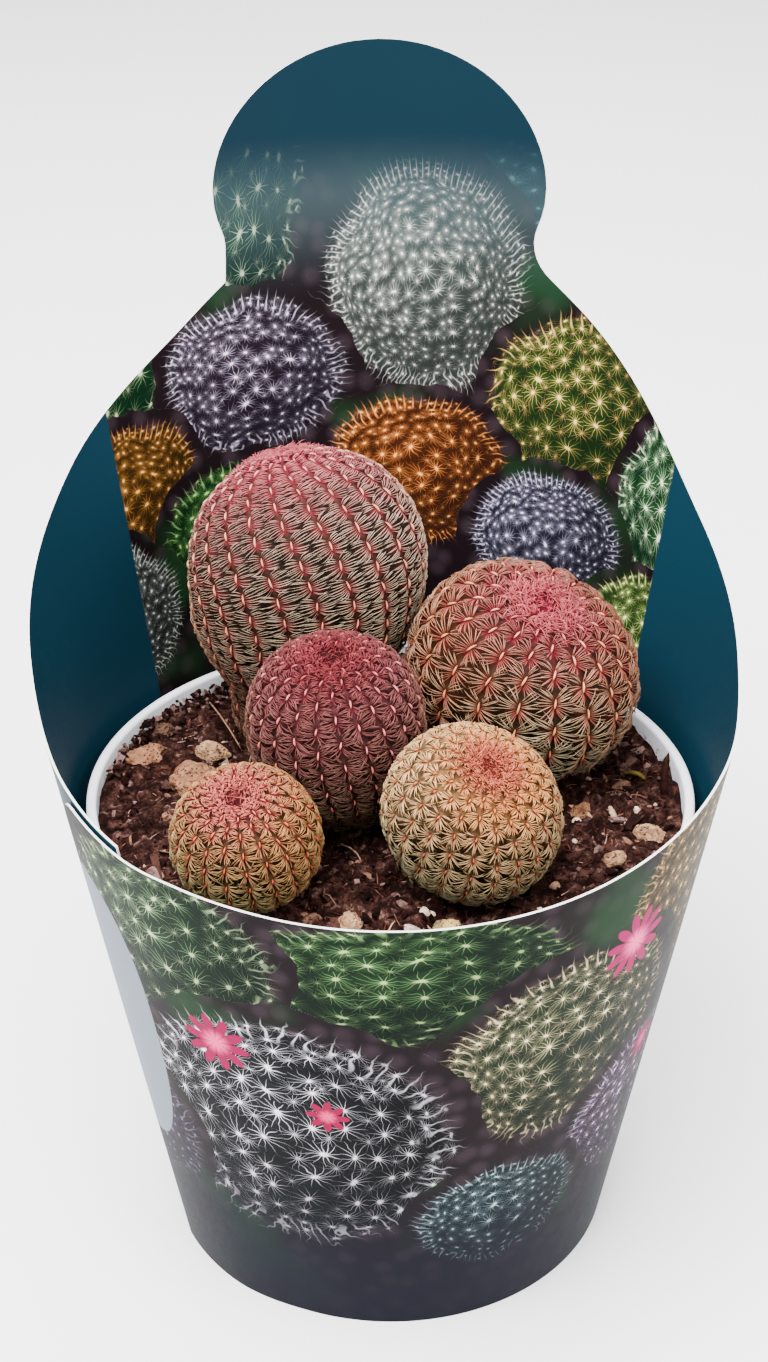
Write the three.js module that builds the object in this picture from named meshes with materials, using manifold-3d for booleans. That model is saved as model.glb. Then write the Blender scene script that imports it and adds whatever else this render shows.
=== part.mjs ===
// Rainbow hedgehog cactus with five heads, in a white nursery pot of peat inside a printed card sleeve.
// Millimetres, +Z up, the front faces -Y, and the origin is the centre of the pot's underside.
// Angles round the pot are in degrees from the front, positive towards +X, so the back is at 180.
import * as THREE from 'three';
import { mergeVertices } from 'three/addons/utils/BufferGeometryUtils.js';
import Module from 'manifold-3d';

const wasm = await Module();
wasm.setup();

// Pot
const POT_SIDES = 40;
const POT_BASE_RADIUS = 44.6;
const POT_SHOULDER_RADIUS = 55.8;
const POT_SHOULDER_HEIGHT = 84;
const POT_RIM_RADIUS = 60;
const POT_HEIGHT = 99.3;
const POT_WALL = 1.1;
const POT_FLOOR = 1.4;
const POT_EDGE = 0.5;
const LIP_WIDTH = 2;
const LIP_HEIGHT = 2;
const BAND_INSET = 0.8;
const BAND_DRAFT = 0.6;
const BAND_STEP = 2;
const DRAIN_RADIUS = 4;
const DRAIN_RING_RADIUS = 30;
const DRAIN_COUNT = 6;
const DRAIN_SIDES = 12;

// Peat
const PEAT_LEVEL = 95.3;
const PEAT_LUMP = 0.8;
const PEAT_CLEARANCE = 0.3;
const STEM_CLEARANCE = 0.6;
const STONE_CLEARANCE = 0.4;

// Card sleeve: a cone of board, glued along a seam at the left
const CARD_BASE_RADIUS = 45.9;
const CARD_FLARE = 0.178;
const CARD_BOARD = 0.6;
const CARD_COLUMN = 7.5;
const SEAM_OUTER_END = -65;
const SEAM_INNER_END = -48;
const SEAM_OFFSET = 0.9;
const SEAM_BLEND_END = -20;
const SEAM_STEP_DOWN = 1.2;
const WING_SKEW = 5;
const HEADER_TURN = -1.3;
const HEADER_HALF_WIDTH = 34.4;
const HEADER_NECK_HALF_WIDTH = 32.1;
const HEADER_FOOT_HALF_WIDTH = 34.1;
const HEADER_SHOULDER_Z = 178.7;
const HEADER_NECK_Z = 186;
const HEADER_WIDEST_Z = 197;
const HEADER_TOP_Z = 224.8;

// Height of the sleeve's edge against the angle from the front, the same on both sides
const EDGE_KNOTS = [
  [0, 110.2], [35, 112], [60, 116], [80, 121.5], [100, 134.5], [120, 148.5], [140, 166], [154, 178.7],
];

// Cactus heads. lean is the tilt of the head's axis from upright and leanTo the direction it leans in.
// upper and lower are the half-heights above and below the widest ring, neck the radius at the peat,
// and twist the degrees that the ribs wind per millimetre of height. The crown, where the ribs meet,
// has grown to one side of the axis: crownTilt is how far and crownTo the direction.
const HEADS = [
  {
    name: 'cactus_large', color: 0xa8606a, centre: [-16.6, 28.4, 133.2], lean: 8.4, leanTo: 90,
    radius: 22.8, upper: 23.6, lower: 27, neck: 12.6, ribs: 21, areoleStep: 4.3, ribDepth: 1.7, twist: -0.6,
    crownTilt: 27, crownTo: -124,
  },
  {
    name: 'cactus_right', color: 0xa06050, centre: [26.3, 12.2, 118.2], lean: 28.4, leanTo: 59.7,
    radius: 21.6, upper: 17.5, lower: 18.6, neck: 9.6, ribs: 18, areoleStep: 5.2, ribDepth: 1.9, twist: -0.3,
    crownTilt: 12, crownTo: -92,
  },
  {
    name: 'cactus_middle', color: 0x8c4652, centre: [-10.4, -10, 119.1], lean: 11.3, leanTo: -14.7,
    radius: 15.7, upper: 16.6, lower: 20, neck: 7.4, ribs: 22, areoleStep: 4.7, ribDepth: 1.3, twist: -0.45,
    crownTilt: 0, crownTo: 0,
  },
  {
    name: 'cactus_small', color: 0xb08a62, centre: [-26.5, -34.1, 108.7], lean: 29, leanTo: -11.9,
    radius: 12.4, upper: 12, lower: 11, neck: 7.2, ribs: 20, areoleStep: 3.5, ribDepth: 1.1, twist: 0,
    crownTilt: 12, crownTo: -176,
  },
  {
    name: 'cactus_front', color: 0xb9a878, centre: [14.9, -29.7, 111.4], lean: 40.9, leanTo: 41.3,
    radius: 15.6, upper: 12.4, lower: 11.5, neck: 8.2, ribs: 22, areoleStep: 3.6, ribDepth: 1.3, twist: -0.8,
    crownTilt: 20, crownTo: -144,
  },
];
const DOME_POWER = 2.15;
const NECK_BLEND = 4;
const BEND_START = 0.35;
const BEND_LENGTH = 15;
const STEM_DEPTH = 10;
const STEM_EDGE = 1.2;
const STEM_SIDES = 20;
const SKIN_SAMPLES = 60;
const RIB_FADE = 6;
const RIB_START_RADIUS = 4;
const CROWN_FADE = 0.35;
const CROWN_TILT_LOW = 0.9;
const CROWN_TILT_HIGH = 0.7;
const CROWN_TILT_STEPS = 40;
const STEM_LOWEST = 60;
const DIMPLE_DEPTH = 1.6;
const DIMPLE_RADIUS = 2.6;

// Spines: flattened like combs to both sides of the ribs
const SPINE_LENGTH = 3.3;
const SPINE_RADIUS = 0.32;
const SPINE_ROOT = 0.8;
const SPINE_LIFT = 0.42;
const SPINE_FAN = [-0.45, 0, 0.45];
const SPINE_EVERY = 3;
const SPINE_CLEARANCE = 0.6;
const SPINE_PEAT_CLEARANCE = 2.5;

// Stones: place on the peat, length, width and height, turn and colour
const STONES = [
  { at: [-50.2, 16], size: [8.6, 6, 5.4], turn: 20, color: 0xb79a7c },
  { at: [-47.4, 26], size: [5, 3.4, 3], turn: 10, color: 0x9c7c5e },
  { at: [-38.4, 3.4], size: [11.4, 9.6, 8.4], turn: 35, color: 0xc09a78 },
  { at: [-36.4, 17.2], size: [7.4, 4.6, 3.8], turn: -15, color: 0xb8a084 },
  { at: [37.6, -4.6], size: [4.8, 4, 3.6], turn: 60, color: 0xb4a184 },
  { at: [50.2, -13.2], size: [6, 4.8, 4.4], turn: -40, color: 0xc4ab8a },
  { at: [42.6, -22.7], size: [4.6, 3.6, 3.4], turn: 15, color: 0xbfa786 },
  { at: [46.6, 5], size: [4.2, 3.2, 2.8], turn: 5, color: 0xa08468 },
  { at: [10.2, -46.6], size: [5.8, 4.6, 4.4], turn: 70, color: 0xbfae8c },
  { at: [-7.4, -43.6], size: [4.6, 4.2, 4.2], turn: 0, color: 0xcdbb9c },
  { at: [4.2, -45.4], size: [4.8, 3, 2.8], turn: -30, color: 0xc8bda8 },
  { at: [-14.6, -41.4], size: [3.2, 2.6, 2.6], turn: 25, color: 0xb9a98e },
];
const STONE_SMALL = 4.4;
const STONE_SUNK = 0.18;

const rad = THREE.MathUtils.degToRad;
const { lerp, smoothstep } = THREE.MathUtils;

// Point at an angle from the front
function onRing(radius, angle, z) {
  return new THREE.Vector3(radius * Math.sin(rad(angle)), -radius * Math.cos(rad(angle)), z);
}

// A closed geometry as a solid that can be joined and cut
function toSolid(geometry) {
  const bare = geometry.clone();
  bare.deleteAttribute('normal');
  bare.deleteAttribute('uv');
  const merged = mergeVertices(bare);
  return new wasm.Manifold(new wasm.Mesh({
    numProp: 3,
    vertProperties: new Float32Array(merged.attributes.position.array),
    triVerts: new Uint32Array(merged.index.array),
  }));
}

function toGeometry(solid) {
  const mesh = solid.getMesh();
  const geometry = new THREE.BufferGeometry();
  geometry.setAttribute('position', new THREE.BufferAttribute(mesh.vertProperties, mesh.numProp));
  geometry.setIndex(new THREE.BufferAttribute(mesh.triVerts, 1));
  return geometry;
}

// Moves every vertex of a geometry to where place(point, index) says
function reshape(geometry, place) {
  const position = geometry.attributes.position;
  const point = new THREE.Vector3();
  for (let i = 0; i < position.count; i += 1) {
    point.fromBufferAttribute(position, i);
    const moved = place(point, i);
    position.setXYZ(i, moved.x, moved.y, moved.z);
  }
  return geometry;
}

// Lathe geometry round +Z, from [radius, z] pairs that run outwards from the axis at the bottom
function turned(outline, sides) {
  const points = outline.map(([radius, z]) => new THREE.Vector2(radius, z));
  return new THREE.LatheGeometry(points, sides).rotateX(Math.PI / 2);
}

// Radius of the pot's inside face at a height: the wall's up to the shoulder, the rim band's above it
function potInside(z) {
  if (z < POT_SHOULDER_HEIGHT) {
    return lerp(POT_BASE_RADIUS, POT_SHOULDER_RADIUS, z / POT_SHOULDER_HEIGHT) - POT_WALL;
  }
  const share = (z - POT_SHOULDER_HEIGHT) / (POT_HEIGHT - POT_SHOULDER_HEIGHT);
  return POT_RIM_RADIUS - LIP_WIDTH - BAND_DRAFT * (1 - share);
}

// Pot: moulded in one piece, with a rim band that stands out and a rolled lip
function makePot() {
  const shoulder = POT_SHOULDER_HEIGHT;
  const top = POT_HEIGHT;
  const band = POT_RIM_RADIUS - BAND_INSET;
  let pot = toSolid(turned([
    [0, 0],
    [POT_BASE_RADIUS - POT_EDGE, 0],
    [POT_BASE_RADIUS, POT_EDGE],
    [POT_SHOULDER_RADIUS, shoulder],
    [band - BAND_DRAFT, shoulder + BAND_STEP - POT_EDGE],
    [band, top - LIP_HEIGHT - POT_EDGE],
    [POT_RIM_RADIUS, top - LIP_HEIGHT],
    [POT_RIM_RADIUS, top - POT_EDGE],
    [POT_RIM_RADIUS - POT_EDGE, top],
    [potInside(top) + POT_EDGE, top],
    [potInside(top), top - POT_EDGE],
    [potInside(shoulder + BAND_STEP), shoulder + BAND_STEP],
    [potInside(shoulder - 0.01), shoulder],
    [potInside(POT_FLOOR), POT_FLOOR],
    [0, POT_FLOOR],
  ], POT_SIDES));
  const [under, over] = [-1, POT_FLOOR + 1];
  const drain = turned([[0, under], [DRAIN_RADIUS, under], [DRAIN_RADIUS, over], [0, over]], DRAIN_SIDES);
  for (let i = 0; i < DRAIN_COUNT; i += 1) {
    const place = onRing(DRAIN_RING_RADIUS, (i * 360) / DRAIN_COUNT, 0);
    pot = pot.subtract(toSolid(drain.clone().translate(place.x, place.y, 0)));
  }
  return pot;
}

// Radius of a smooth head at height h along its axis, counted from the widest ring
function headRadius(head, h) {
  if (h >= 0) {
    return head.radius * (1 - Math.min(1, h / head.upper) ** DOME_POWER) ** (1 / DOME_POWER);
  }
  const belly = head.radius * Math.sqrt(Math.max(0, 1 - (h / head.lower) ** 2));
  const neck = head.neck * smoothstep(-h, 0, head.lower * 0.5);
  return (belly ** NECK_BLEND + neck ** NECK_BLEND) ** (1 / NECK_BLEND);
}

// Centre line of a head: straight through the head, then an arc that brings the neck upright.
// Gives the point at height h and the tilt there.
function centreLine(head, h) {
  const lean = rad(head.lean);
  const bendAt = -head.lower * BEND_START;
  const down = Math.max(0, bendAt - h);
  const tilt = lean * (1 - Math.min(1, down / BEND_LENGTH));
  const arc = BEND_LENGTH / lean;
  const along = Math.max(h, bendAt);
  const plumb = Math.max(0, down - BEND_LENGTH);
  const out = along * Math.sin(lean) - arc * (Math.cos(tilt) - Math.cos(lean));
  const up = along * Math.cos(lean) - arc * (Math.sin(lean) - Math.sin(tilt)) - plumb;
  const point = onRing(out, head.leanTo, up).add(new THREE.Vector3(...head.centre));
  return { point, tilt };
}

// Point of a head at radius r, angle a round its axis and height h
function headPoint(head, r, a, h) {
  const { point, tilt } = centreLine(head, h);
  const lean = onRing(1, head.leanTo, 0);
  const side = onRing(1, head.leanTo + 90, 0);
  const across = lean.clone().multiplyScalar(Math.cos(tilt)).setZ(-Math.sin(tilt));
  return point.addScaledVector(across, r * Math.cos(a)).addScaledVector(side, r * Math.sin(a));
}

// Where a place of the rib pattern lies on the skin. The pattern is tilted towards the crown, not at all at
// the foot and in full near the top, and brought back onto the skin along a line from the head's centre.
function patternPlace(head, r, a, h) {
  const share = smoothstep(h, -head.lower * CROWN_TILT_LOW, head.upper * CROWN_TILT_HIGH);
  if (share * head.crownTilt === 0) {
    return { r, a, h };
  }
  const towards = rad(head.crownTo - head.leanTo);
  const place = new THREE.Vector3(r * Math.cos(a - towards), r * Math.sin(a - towards), h);
  place.applyAxisAngle(new THREE.Vector3(0, 1, 0), rad(head.crownTilt) * share);
  const flat = Math.hypot(place.x, place.y);
  let [low, high] = [-STEM_LOWEST, head.upper];
  for (let i = 0; i < CROWN_TILT_STEPS; i += 1) {
    const middle = (low + high) / 2;
    if (middle * flat > place.z * headRadius(head, middle)) {
      high = middle;
    } else {
      low = middle;
    }
  }
  return { r: headRadius(head, low), a: Math.atan2(place.y, place.x) + towards, h: low };
}

// Point of the skin at radius r, angle a and height h of the rib pattern, raised outwards by rise
function skinPoint(head, r, a, h, rise) {
  const place = patternPlace(head, r, a, h);
  const point = headPoint(head, place.r, place.a, place.h);
  const out = point.clone().sub(centreLine(head, Math.min(place.h, 0)).point).normalize();
  return point.addScaledVector(out, rise);
}

// Height along the axis at which a head's centre line meets the peat
function peatHeight(head) {
  let h = 0;
  while (centreLine(head, h).point.z > PEAT_LEVEL) {
    h -= 0.25;
  }
  return h;
}

// Heights of the rows of areoles from the peat to the crown, an equal step apart along the skin
function headRows(head) {
  const skin = [];
  const low = peatHeight(head) + 1;
  for (let i = 0; i <= SKIN_SAMPLES; i += 1) {
    const h = lerp(low, head.upper, Math.sin((i / SKIN_SAMPLES) * Math.PI / 2));
    skin.push(new THREE.Vector2(headRadius(head, h), h));
  }
  const line = new THREE.SplineCurve(skin);
  const count = Math.round(line.getLength() / head.areoleStep);
  return line.getSpacedPoints(count).map((point) => point.y);
}

// Share of the rib depth that a head has at height h: none in the peat, all on the belly, little at the crown
function ribFade(head, h) {
  const low = smoothstep(h, peatHeight(head), peatHeight(head) + RIB_FADE);
  return low * smoothstep(head.upper - h, -0.5, head.upper * CROWN_FADE);
}

// Ribbed skin of a head from the buried end of the neck to the dimple in the crown
function headSkin(head) {
  const bottom = peatHeight(head) - STEM_DEPTH;
  const heights = [bottom + STEM_EDGE, peatHeight(head) - 1, ...headRows(head)];
  const outline = heights.map((h) => [headRadius(head, h), h]);
  outline.unshift([0, bottom], [headRadius(head, bottom) - STEM_EDGE, bottom]);
  outline.at(-1)[0] = 0;
  const perColumn = outline.length;
  const folds = turned(outline, head.ribs * 2);
  return reshape(folds, (point, i) => {
    const column = Math.floor(i / perColumn);
    const h = point.z;
    const r = Math.hypot(point.x, point.y);
    const a = ribAngle(head, column / 2, h);
    if (h < 0 && ribFade(head, h) === 0) {
      return headPoint(head, r, a, h);
    }
    const crest = column % 2 === 0 ? 0.5 : -0.5;
    const fold = crest * head.ribDepth * ribFade(head, h) * Math.min(1, r / RIB_START_RADIUS);
    const dimple = h > 0 ? DIMPLE_DEPTH * Math.exp(-((r / DIMPLE_RADIUS) ** 2)) : 0;
    return skinPoint(head, r, a, h, fold - dimple);
  });
}

// Angle of rib number n round the axis: the ribs wind a little
function ribAngle(head, n, h) {
  return (n / head.ribs) * 2 * Math.PI + rad(head.twist * (h + head.lower));
}

// True where a point lies above the peat and outside every other head
function isClear(point, own) {
  if (point.z < PEAT_LEVEL + SPINE_PEAT_CLEARANCE) {
    return false;
  }
  return HEADS.every((head) => {
    if (head === own) {
      return true;
    }
    const room = head.ribDepth / 2 + SPINE_CLEARANCE;
    const step = 1;
    for (let h = peatHeight(head); h <= head.upper + room; h += step) {
      const { point: middle, tilt } = centreLine(head, h);
      const offset = point.clone().sub(middle);
      const rise = offset.dot(onRing(Math.sin(tilt), head.leanTo, Math.cos(tilt)));
      if (Math.abs(rise) < step && offset.length() < headRadius(head, h) + room) {
        return false;
      }
    }
    return true;
  });
}

// One spine: a slim three-sided cone from its root under the skin to its tip
function makeSpine(root, tip) {
  const axis = tip.clone().sub(root);
  const spine = new THREE.ConeGeometry(SPINE_RADIUS, axis.length(), 3).translate(0, axis.length() / 2, 0);
  const turn = new THREE.Quaternion().setFromUnitVectors(new THREE.Vector3(0, 1, 0), axis.normalize());
  return spine.applyQuaternion(turn).translate(root.x, root.y, root.z);
}

// Point on the crest of a rib at height h, turned a little further round by extra
function crestPoint(head, rib, h, extra) {
  const rise = 0.5 * head.ribDepth * ribFade(head, h);
  return skinPoint(head, headRadius(head, h), ribAngle(head, rib, h) + extra, h, rise);
}

// Head with its spines: one on every third areole, turned by rule to both sides of its rib
function makeHead(head) {
  const rows = headRows(head);
  const small = 0.02;
  let solid = toSolid(headSkin(head));
  for (let rib = 0; rib < head.ribs; rib += 1) {
    for (let row = 1; row < rows.length - 1; row += 1) {
      const foot = crestPoint(head, rib, rows[row], 0);
      const across = crestPoint(head, rib, rows[row], small).sub(foot).normalize();
      const along = crestPoint(head, rib, rows[row] + small, 0).sub(foot).normalize();
      const out = across.clone().cross(along).normalize();
      const fan = SPINE_FAN[(rib + row) % SPINE_FAN.length];
      const side = (row + Math.floor(rib / SPINE_EVERY)) % 2 === 0 ? 1 : -1;
      const direction = across.multiplyScalar(side * Math.cos(fan)).addScaledVector(along, Math.sin(fan));
      direction.addScaledVector(out, SPINE_LIFT).normalize();
      const tip = foot.clone().addScaledVector(direction, SPINE_LENGTH);
      const chosen = (rib + row * 2) % SPINE_EVERY === 0;
      if (chosen && isClear(tip, head) && isClear(foot, head)) {
        solid = solid.add(toSolid(makeSpine(foot.addScaledVector(out, -SPINE_ROOT), tip)));
      }
    }
  }
  return solid;
}

// Smooth plug of a head's neck, a little wider, that leaves its hole in the peat
function stemHole(head) {
  const bottom = peatHeight(head) - STEM_DEPTH - STEM_CLEARANCE;
  const heights = [bottom, ...[-2, 1, 4, 8].map((above) => peatHeight(head) + above)];
  const outline = heights.map((h) => [headRadius(head, h) + STEM_CLEARANCE, h]);
  outline.unshift([0, bottom]);
  outline.push([0, heights.at(-1)]);
  return reshape(turned(outline, STEM_SIDES), (point) => {
    const r = Math.hypot(point.x, point.y);
    return headPoint(head, r, Math.atan2(point.y, point.x), point.z);
  });
}

// Height of the lumpy peat at a place
function peatHeightAt(x, y) {
  const lumps = Math.sin(x * 0.29 + 1.3) * Math.cos(y * 0.33 + 0.4) + 0.6 * Math.sin(x * 0.71 - y * 0.57);
  return PEAT_LEVEL + PEAT_LUMP * lumps;
}

// Stone: a rounded lump, its surface pushed in and out by formula, grown on all sides by margin
function stoneGeometry(stone, number, margin) {
  const [length, width, height] = stone.size;
  const [x, y] = stone.at;
  const detail = length > STONE_SMALL ? 1 : 0;
  const lump = reshape(new THREE.IcosahedronGeometry(1, detail), (point) => {
    const bump = 0.09 * Math.sin(3.1 * point.x + number) + 0.08 * Math.sin(4.3 * point.y + 2 * number)
      + 0.06 * Math.sin(5.2 * point.z + 3 * number);
    const half = new THREE.Vector3(length, width, height).multiplyScalar((1.02 + bump) / 2);
    const surface = point.clone().multiply(half);
    return surface.setLength(surface.length() + margin);
  });
  return lump.rotateZ(rad(stone.turn)).translate(x, y, peatHeightAt(x, y) + height * STONE_SUNK);
}

// Peat: fills the pot, with a lumpy top, a hole for each stem and a hollow under each stone
function makePeat() {
  const edge = potInside(PEAT_LEVEL) - PEAT_CLEARANCE;
  const outline = [[0, POT_FLOOR + PEAT_CLEARANCE]];
  for (const z of [POT_FLOOR, POT_SHOULDER_HEIGHT - 0.01, POT_SHOULDER_HEIGHT + BAND_STEP]) {
    outline.push([potInside(z) - PEAT_CLEARANCE, z + PEAT_CLEARANCE]);
  }
  for (const share of [1, 0.88, 0.74, 0.59, 0.43, 0.26, 0.1, 0]) {
    outline.push([edge * share, PEAT_LEVEL]);
  }
  const filling = reshape(turned(outline, POT_SIDES), (point) => (
    point.z < PEAT_LEVEL ? point : point.clone().setZ(peatHeightAt(point.x, point.y))
  ));
  let peat = toSolid(filling);
  for (const head of HEADS) {
    peat = peat.subtract(toSolid(stemHole(head)));
  }
  STONES.forEach((stone, number) => {
    peat = peat.subtract(toSolid(stoneGeometry(stone, number, STONE_CLEARANCE)));
  });
  return peat;
}

// Radius of the sleeve's outer face; the seam's outer layer lies over the inner one
function cardRadius(angle, z) {
  const lap = 1 - smoothstep(angle, SEAM_INNER_END + 4, SEAM_BLEND_END);
  return CARD_BASE_RADIUS + CARD_FLARE * z + SEAM_OFFSET * lap;
}

// Patch of board between two angles, from one distance behind the outer face to another
function cardPatch(start, end, inner, outer, lowZ, highZ) {
  const columns = Math.max(1, Math.round((end - start) / CARD_COLUMN));
  return reshape(new THREE.BoxGeometry(1, 1, 1, columns, 1, 1), (point) => {
    const angle = lerp(start, end, point.x + 0.5);
    const z = lerp(lowZ(angle), highZ(angle), point.z + 0.5);
    return onRing(cardRadius(angle, z) + lerp(outer, inner, point.y + 0.5), angle, z);
  });
}

// Height of the sleeve's edge at an angle: the knots, with the left wing a little higher than the right
function edgeHeight(angle) {
  const turn = Math.abs(angle);
  const side = Math.sign(angle);
  let i = 1;
  while (i < EDGE_KNOTS.length - 1 && EDGE_KNOTS[i][0] < turn) {
    i += 1;
  }
  const [[a, low], [b, high]] = [EDGE_KNOTS[i - 1], EDGE_KNOTS[i]];
  const skew = WING_SKEW * smoothstep(turn, 66, 94) * (1 - smoothstep(turn, 118, 148));
  return lerp(low, high, (turn - a) / (b - a)) - side * skew;
}

// Everything above the shoulders that isn't header, as one flat block pushed through the sleeve's back
function headerCutter() {
  const middle = (CARD_BASE_RADIUS + CARD_FLARE * HEADER_WIDEST_Z) * Math.sin(rad(HEADER_TURN));
  const wide = HEADER_HALF_WIDTH;
  const neck = HEADER_NECK_HALF_WIDTH;
  const far = 90;
  const bend = 3;
  const shape = new THREE.Shape();
  shape.moveTo(-far, HEADER_SHOULDER_Z);
  shape.lineTo(-HEADER_FOOT_HALF_WIDTH, HEADER_SHOULDER_Z);
  shape.quadraticCurveTo(middle - neck, HEADER_SHOULDER_Z + bend, middle - neck, HEADER_NECK_Z);
  shape.bezierCurveTo(middle - neck, HEADER_NECK_Z + bend, middle - wide, HEADER_WIDEST_Z - 2 * bend,
    middle - wide, HEADER_WIDEST_Z);
  shape.absellipse(middle, HEADER_WIDEST_Z, wide, HEADER_TOP_Z - HEADER_WIDEST_Z, Math.PI, 0, true);
  shape.bezierCurveTo(middle + wide, HEADER_WIDEST_Z - 2 * bend, middle + neck, HEADER_NECK_Z + bend,
    middle + neck, HEADER_NECK_Z);
  shape.quadraticCurveTo(middle + neck, HEADER_SHOULDER_Z + bend, HEADER_FOOT_HALF_WIDTH, HEADER_SHOULDER_Z);
  shape.lineTo(far, HEADER_SHOULDER_Z);
  shape.lineTo(far, HEADER_TOP_Z + 20);
  shape.lineTo(-far, HEADER_TOP_Z + 20);
  shape.closePath();
  const back = 120;
  const front = 20;
  const cut = { depth: back - front, bevelEnabled: false, curveSegments: 7 };
  return new THREE.ExtrudeGeometry(shape, cut).rotateX(Math.PI / 2).translate(0, back, 0);
}

// Sleeve: one strip of board rolled into a cone, cut to its outline and held by a line of glue in the lap
function makeSleeve() {
  const tall = HEADER_TOP_Z + 2;
  const reach = EDGE_KNOTS.at(-1)[0];
  const wide = 8;
  const curtainTop = (angle) => (Math.abs(angle) < 115 ? tall + 4 : HEADER_SHOULDER_Z + 0.1);
  const strip = cardPatch(SEAM_OUTER_END, SEAM_INNER_END + 360, -CARD_BOARD, 0, () => 0, () => tall);
  const above = cardPatch(-reach, reach, -wide, wide, edgeHeight, curtainTop);
  const lapEdge = (angle) => edgeHeight(angle) + 0.1
    - (SEAM_STEP_DOWN + 0.1) * (1 - smoothstep(angle, SEAM_INNER_END, SEAM_INNER_END + 14));
  const lapTop = cardPatch(SEAM_OUTER_END - 5, SEAM_INNER_END + 17, -(CARD_BOARD + SEAM_OFFSET) / 2, wide,
    lapEdge, () => tall);
  const glue = cardPatch(SEAM_OUTER_END + 5, SEAM_OUTER_END + 8, -SEAM_OFFSET - 0.1, 0.1 - CARD_BOARD,
    () => 4, () => edgeHeight(0) - 6);
  return toSolid(strip).subtract(toSolid(above)).subtract(toSolid(headerCutter()))
    .subtract(toSolid(lapTop)).add(toSolid(glue));
}

function addPiece(name, solid, look) {
  const mesh = new THREE.Mesh(toGeometry(solid), new THREE.MeshStandardMaterial({ metalness: 0, ...look }));
  mesh.name = name;
  group.add(mesh);
}

const group = new THREE.Group();
addPiece('pot', makePot(), { color: 0xe9e9e6, roughness: 0.5 });
addPiece('peat', makePeat(), { color: 0x4a3026, roughness: 0.95 });
addPiece('sleeve', makeSleeve(), { color: 0x14404f, roughness: 0.45 });
HEADS.forEach((head) => addPiece(head.name, makeHead(head), { color: head.color, roughness: 0.8 }));
STONES.forEach((stone, number) => {
  const name = `stone_${String(number + 1).padStart(2, '0')}`;
  addPiece(name, toSolid(stoneGeometry(stone, number, 0)), { color: stone.color, roughness: 0.9 });
});

export default group;
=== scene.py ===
# Rainbow hedgehog cactus with five heads, in a white nursery pot of peat inside a printed card sleeve.
# Metres, +Z up, the front faces -Y. Sizes below are in millimetres and are multiplied by MM.
# Angles round the pot are in degrees from the front, positive towards +X, so the back is at 180.
import math

import bpy
import numpy as np
from mathutils import Matrix, Vector, noise


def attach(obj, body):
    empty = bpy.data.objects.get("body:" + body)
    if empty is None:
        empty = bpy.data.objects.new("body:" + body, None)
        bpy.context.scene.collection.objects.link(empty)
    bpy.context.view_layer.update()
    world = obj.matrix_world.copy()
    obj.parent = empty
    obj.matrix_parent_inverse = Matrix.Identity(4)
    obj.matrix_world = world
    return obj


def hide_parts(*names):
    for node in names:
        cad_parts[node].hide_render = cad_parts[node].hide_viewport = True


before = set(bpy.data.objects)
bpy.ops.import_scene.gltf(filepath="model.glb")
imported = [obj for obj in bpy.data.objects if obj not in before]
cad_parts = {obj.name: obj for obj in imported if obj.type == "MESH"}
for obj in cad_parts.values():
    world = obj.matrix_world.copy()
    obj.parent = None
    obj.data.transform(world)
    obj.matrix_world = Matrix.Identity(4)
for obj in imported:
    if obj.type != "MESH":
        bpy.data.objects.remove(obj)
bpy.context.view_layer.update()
MM = 0.001

# Camera: stands in front of the pot, a little above it, and looks down on the heads.
# Its place was found from the oval of the pot's rim and the edge of the sleeve.
CAMERA_AT = (-1.216, -387.18, 340.96)
CAMERA_TILT = 29.408
CAMERA_ROLL = -0.152
FOCAL_PIXELS = 2300
PHOTO_HEIGHT = 1362
SENSOR = 36

bpy.ops.object.camera_add(location=[c * MM for c in CAMERA_AT])
camera = bpy.context.object
camera.data.sensor_width = SENSOR
camera.data.lens = FOCAL_PIXELS / PHOTO_HEIGHT * SENSOR
camera.data.clip_start = 0.01
pitch = Matrix.Rotation(math.radians(90 - CAMERA_TILT), 3, "X")
roll = Matrix.Rotation(math.radians(CAMERA_ROLL), 3, "Z")
camera.rotation_euler = (pitch @ roll).to_euler()
bpy.context.scene.camera = camera


# Nursery pot: white plastic, moulded in one piece and open at the top. It has a rim band that
# stands out, a rolled lip and six holes in its floor. It stands on the table inside the sleeve.
POT_STEPS = 144
POT_BASE_RADIUS = 44.6
POT_SHOULDER_RADIUS = 55.8
POT_SHOULDER_HEIGHT = 84
POT_RIM_RADIUS = 60
POT_HEIGHT = 99.3
POT_WALL = 1.1
POT_FLOOR = 1.4
LIP_WIDTH = 2
LIP_HEIGHT = 2
LIP_UNDERCUT = 0.6
BAND_INSET = 0.8
BAND_DRAFT = 0.6
BAND_STEP = 2
EDGE_ROUND = 0.8
DRAIN_RADIUS = 4
DRAIN_RING_RADIUS = 30
DRAIN_COUNT = 6
DRILL_SIDES = 32
DRILL_LENGTH = 10
PEAT_LEVEL = 95.3
SPLASH_HEIGHT = 3.6
HAIR = 0.01


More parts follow.
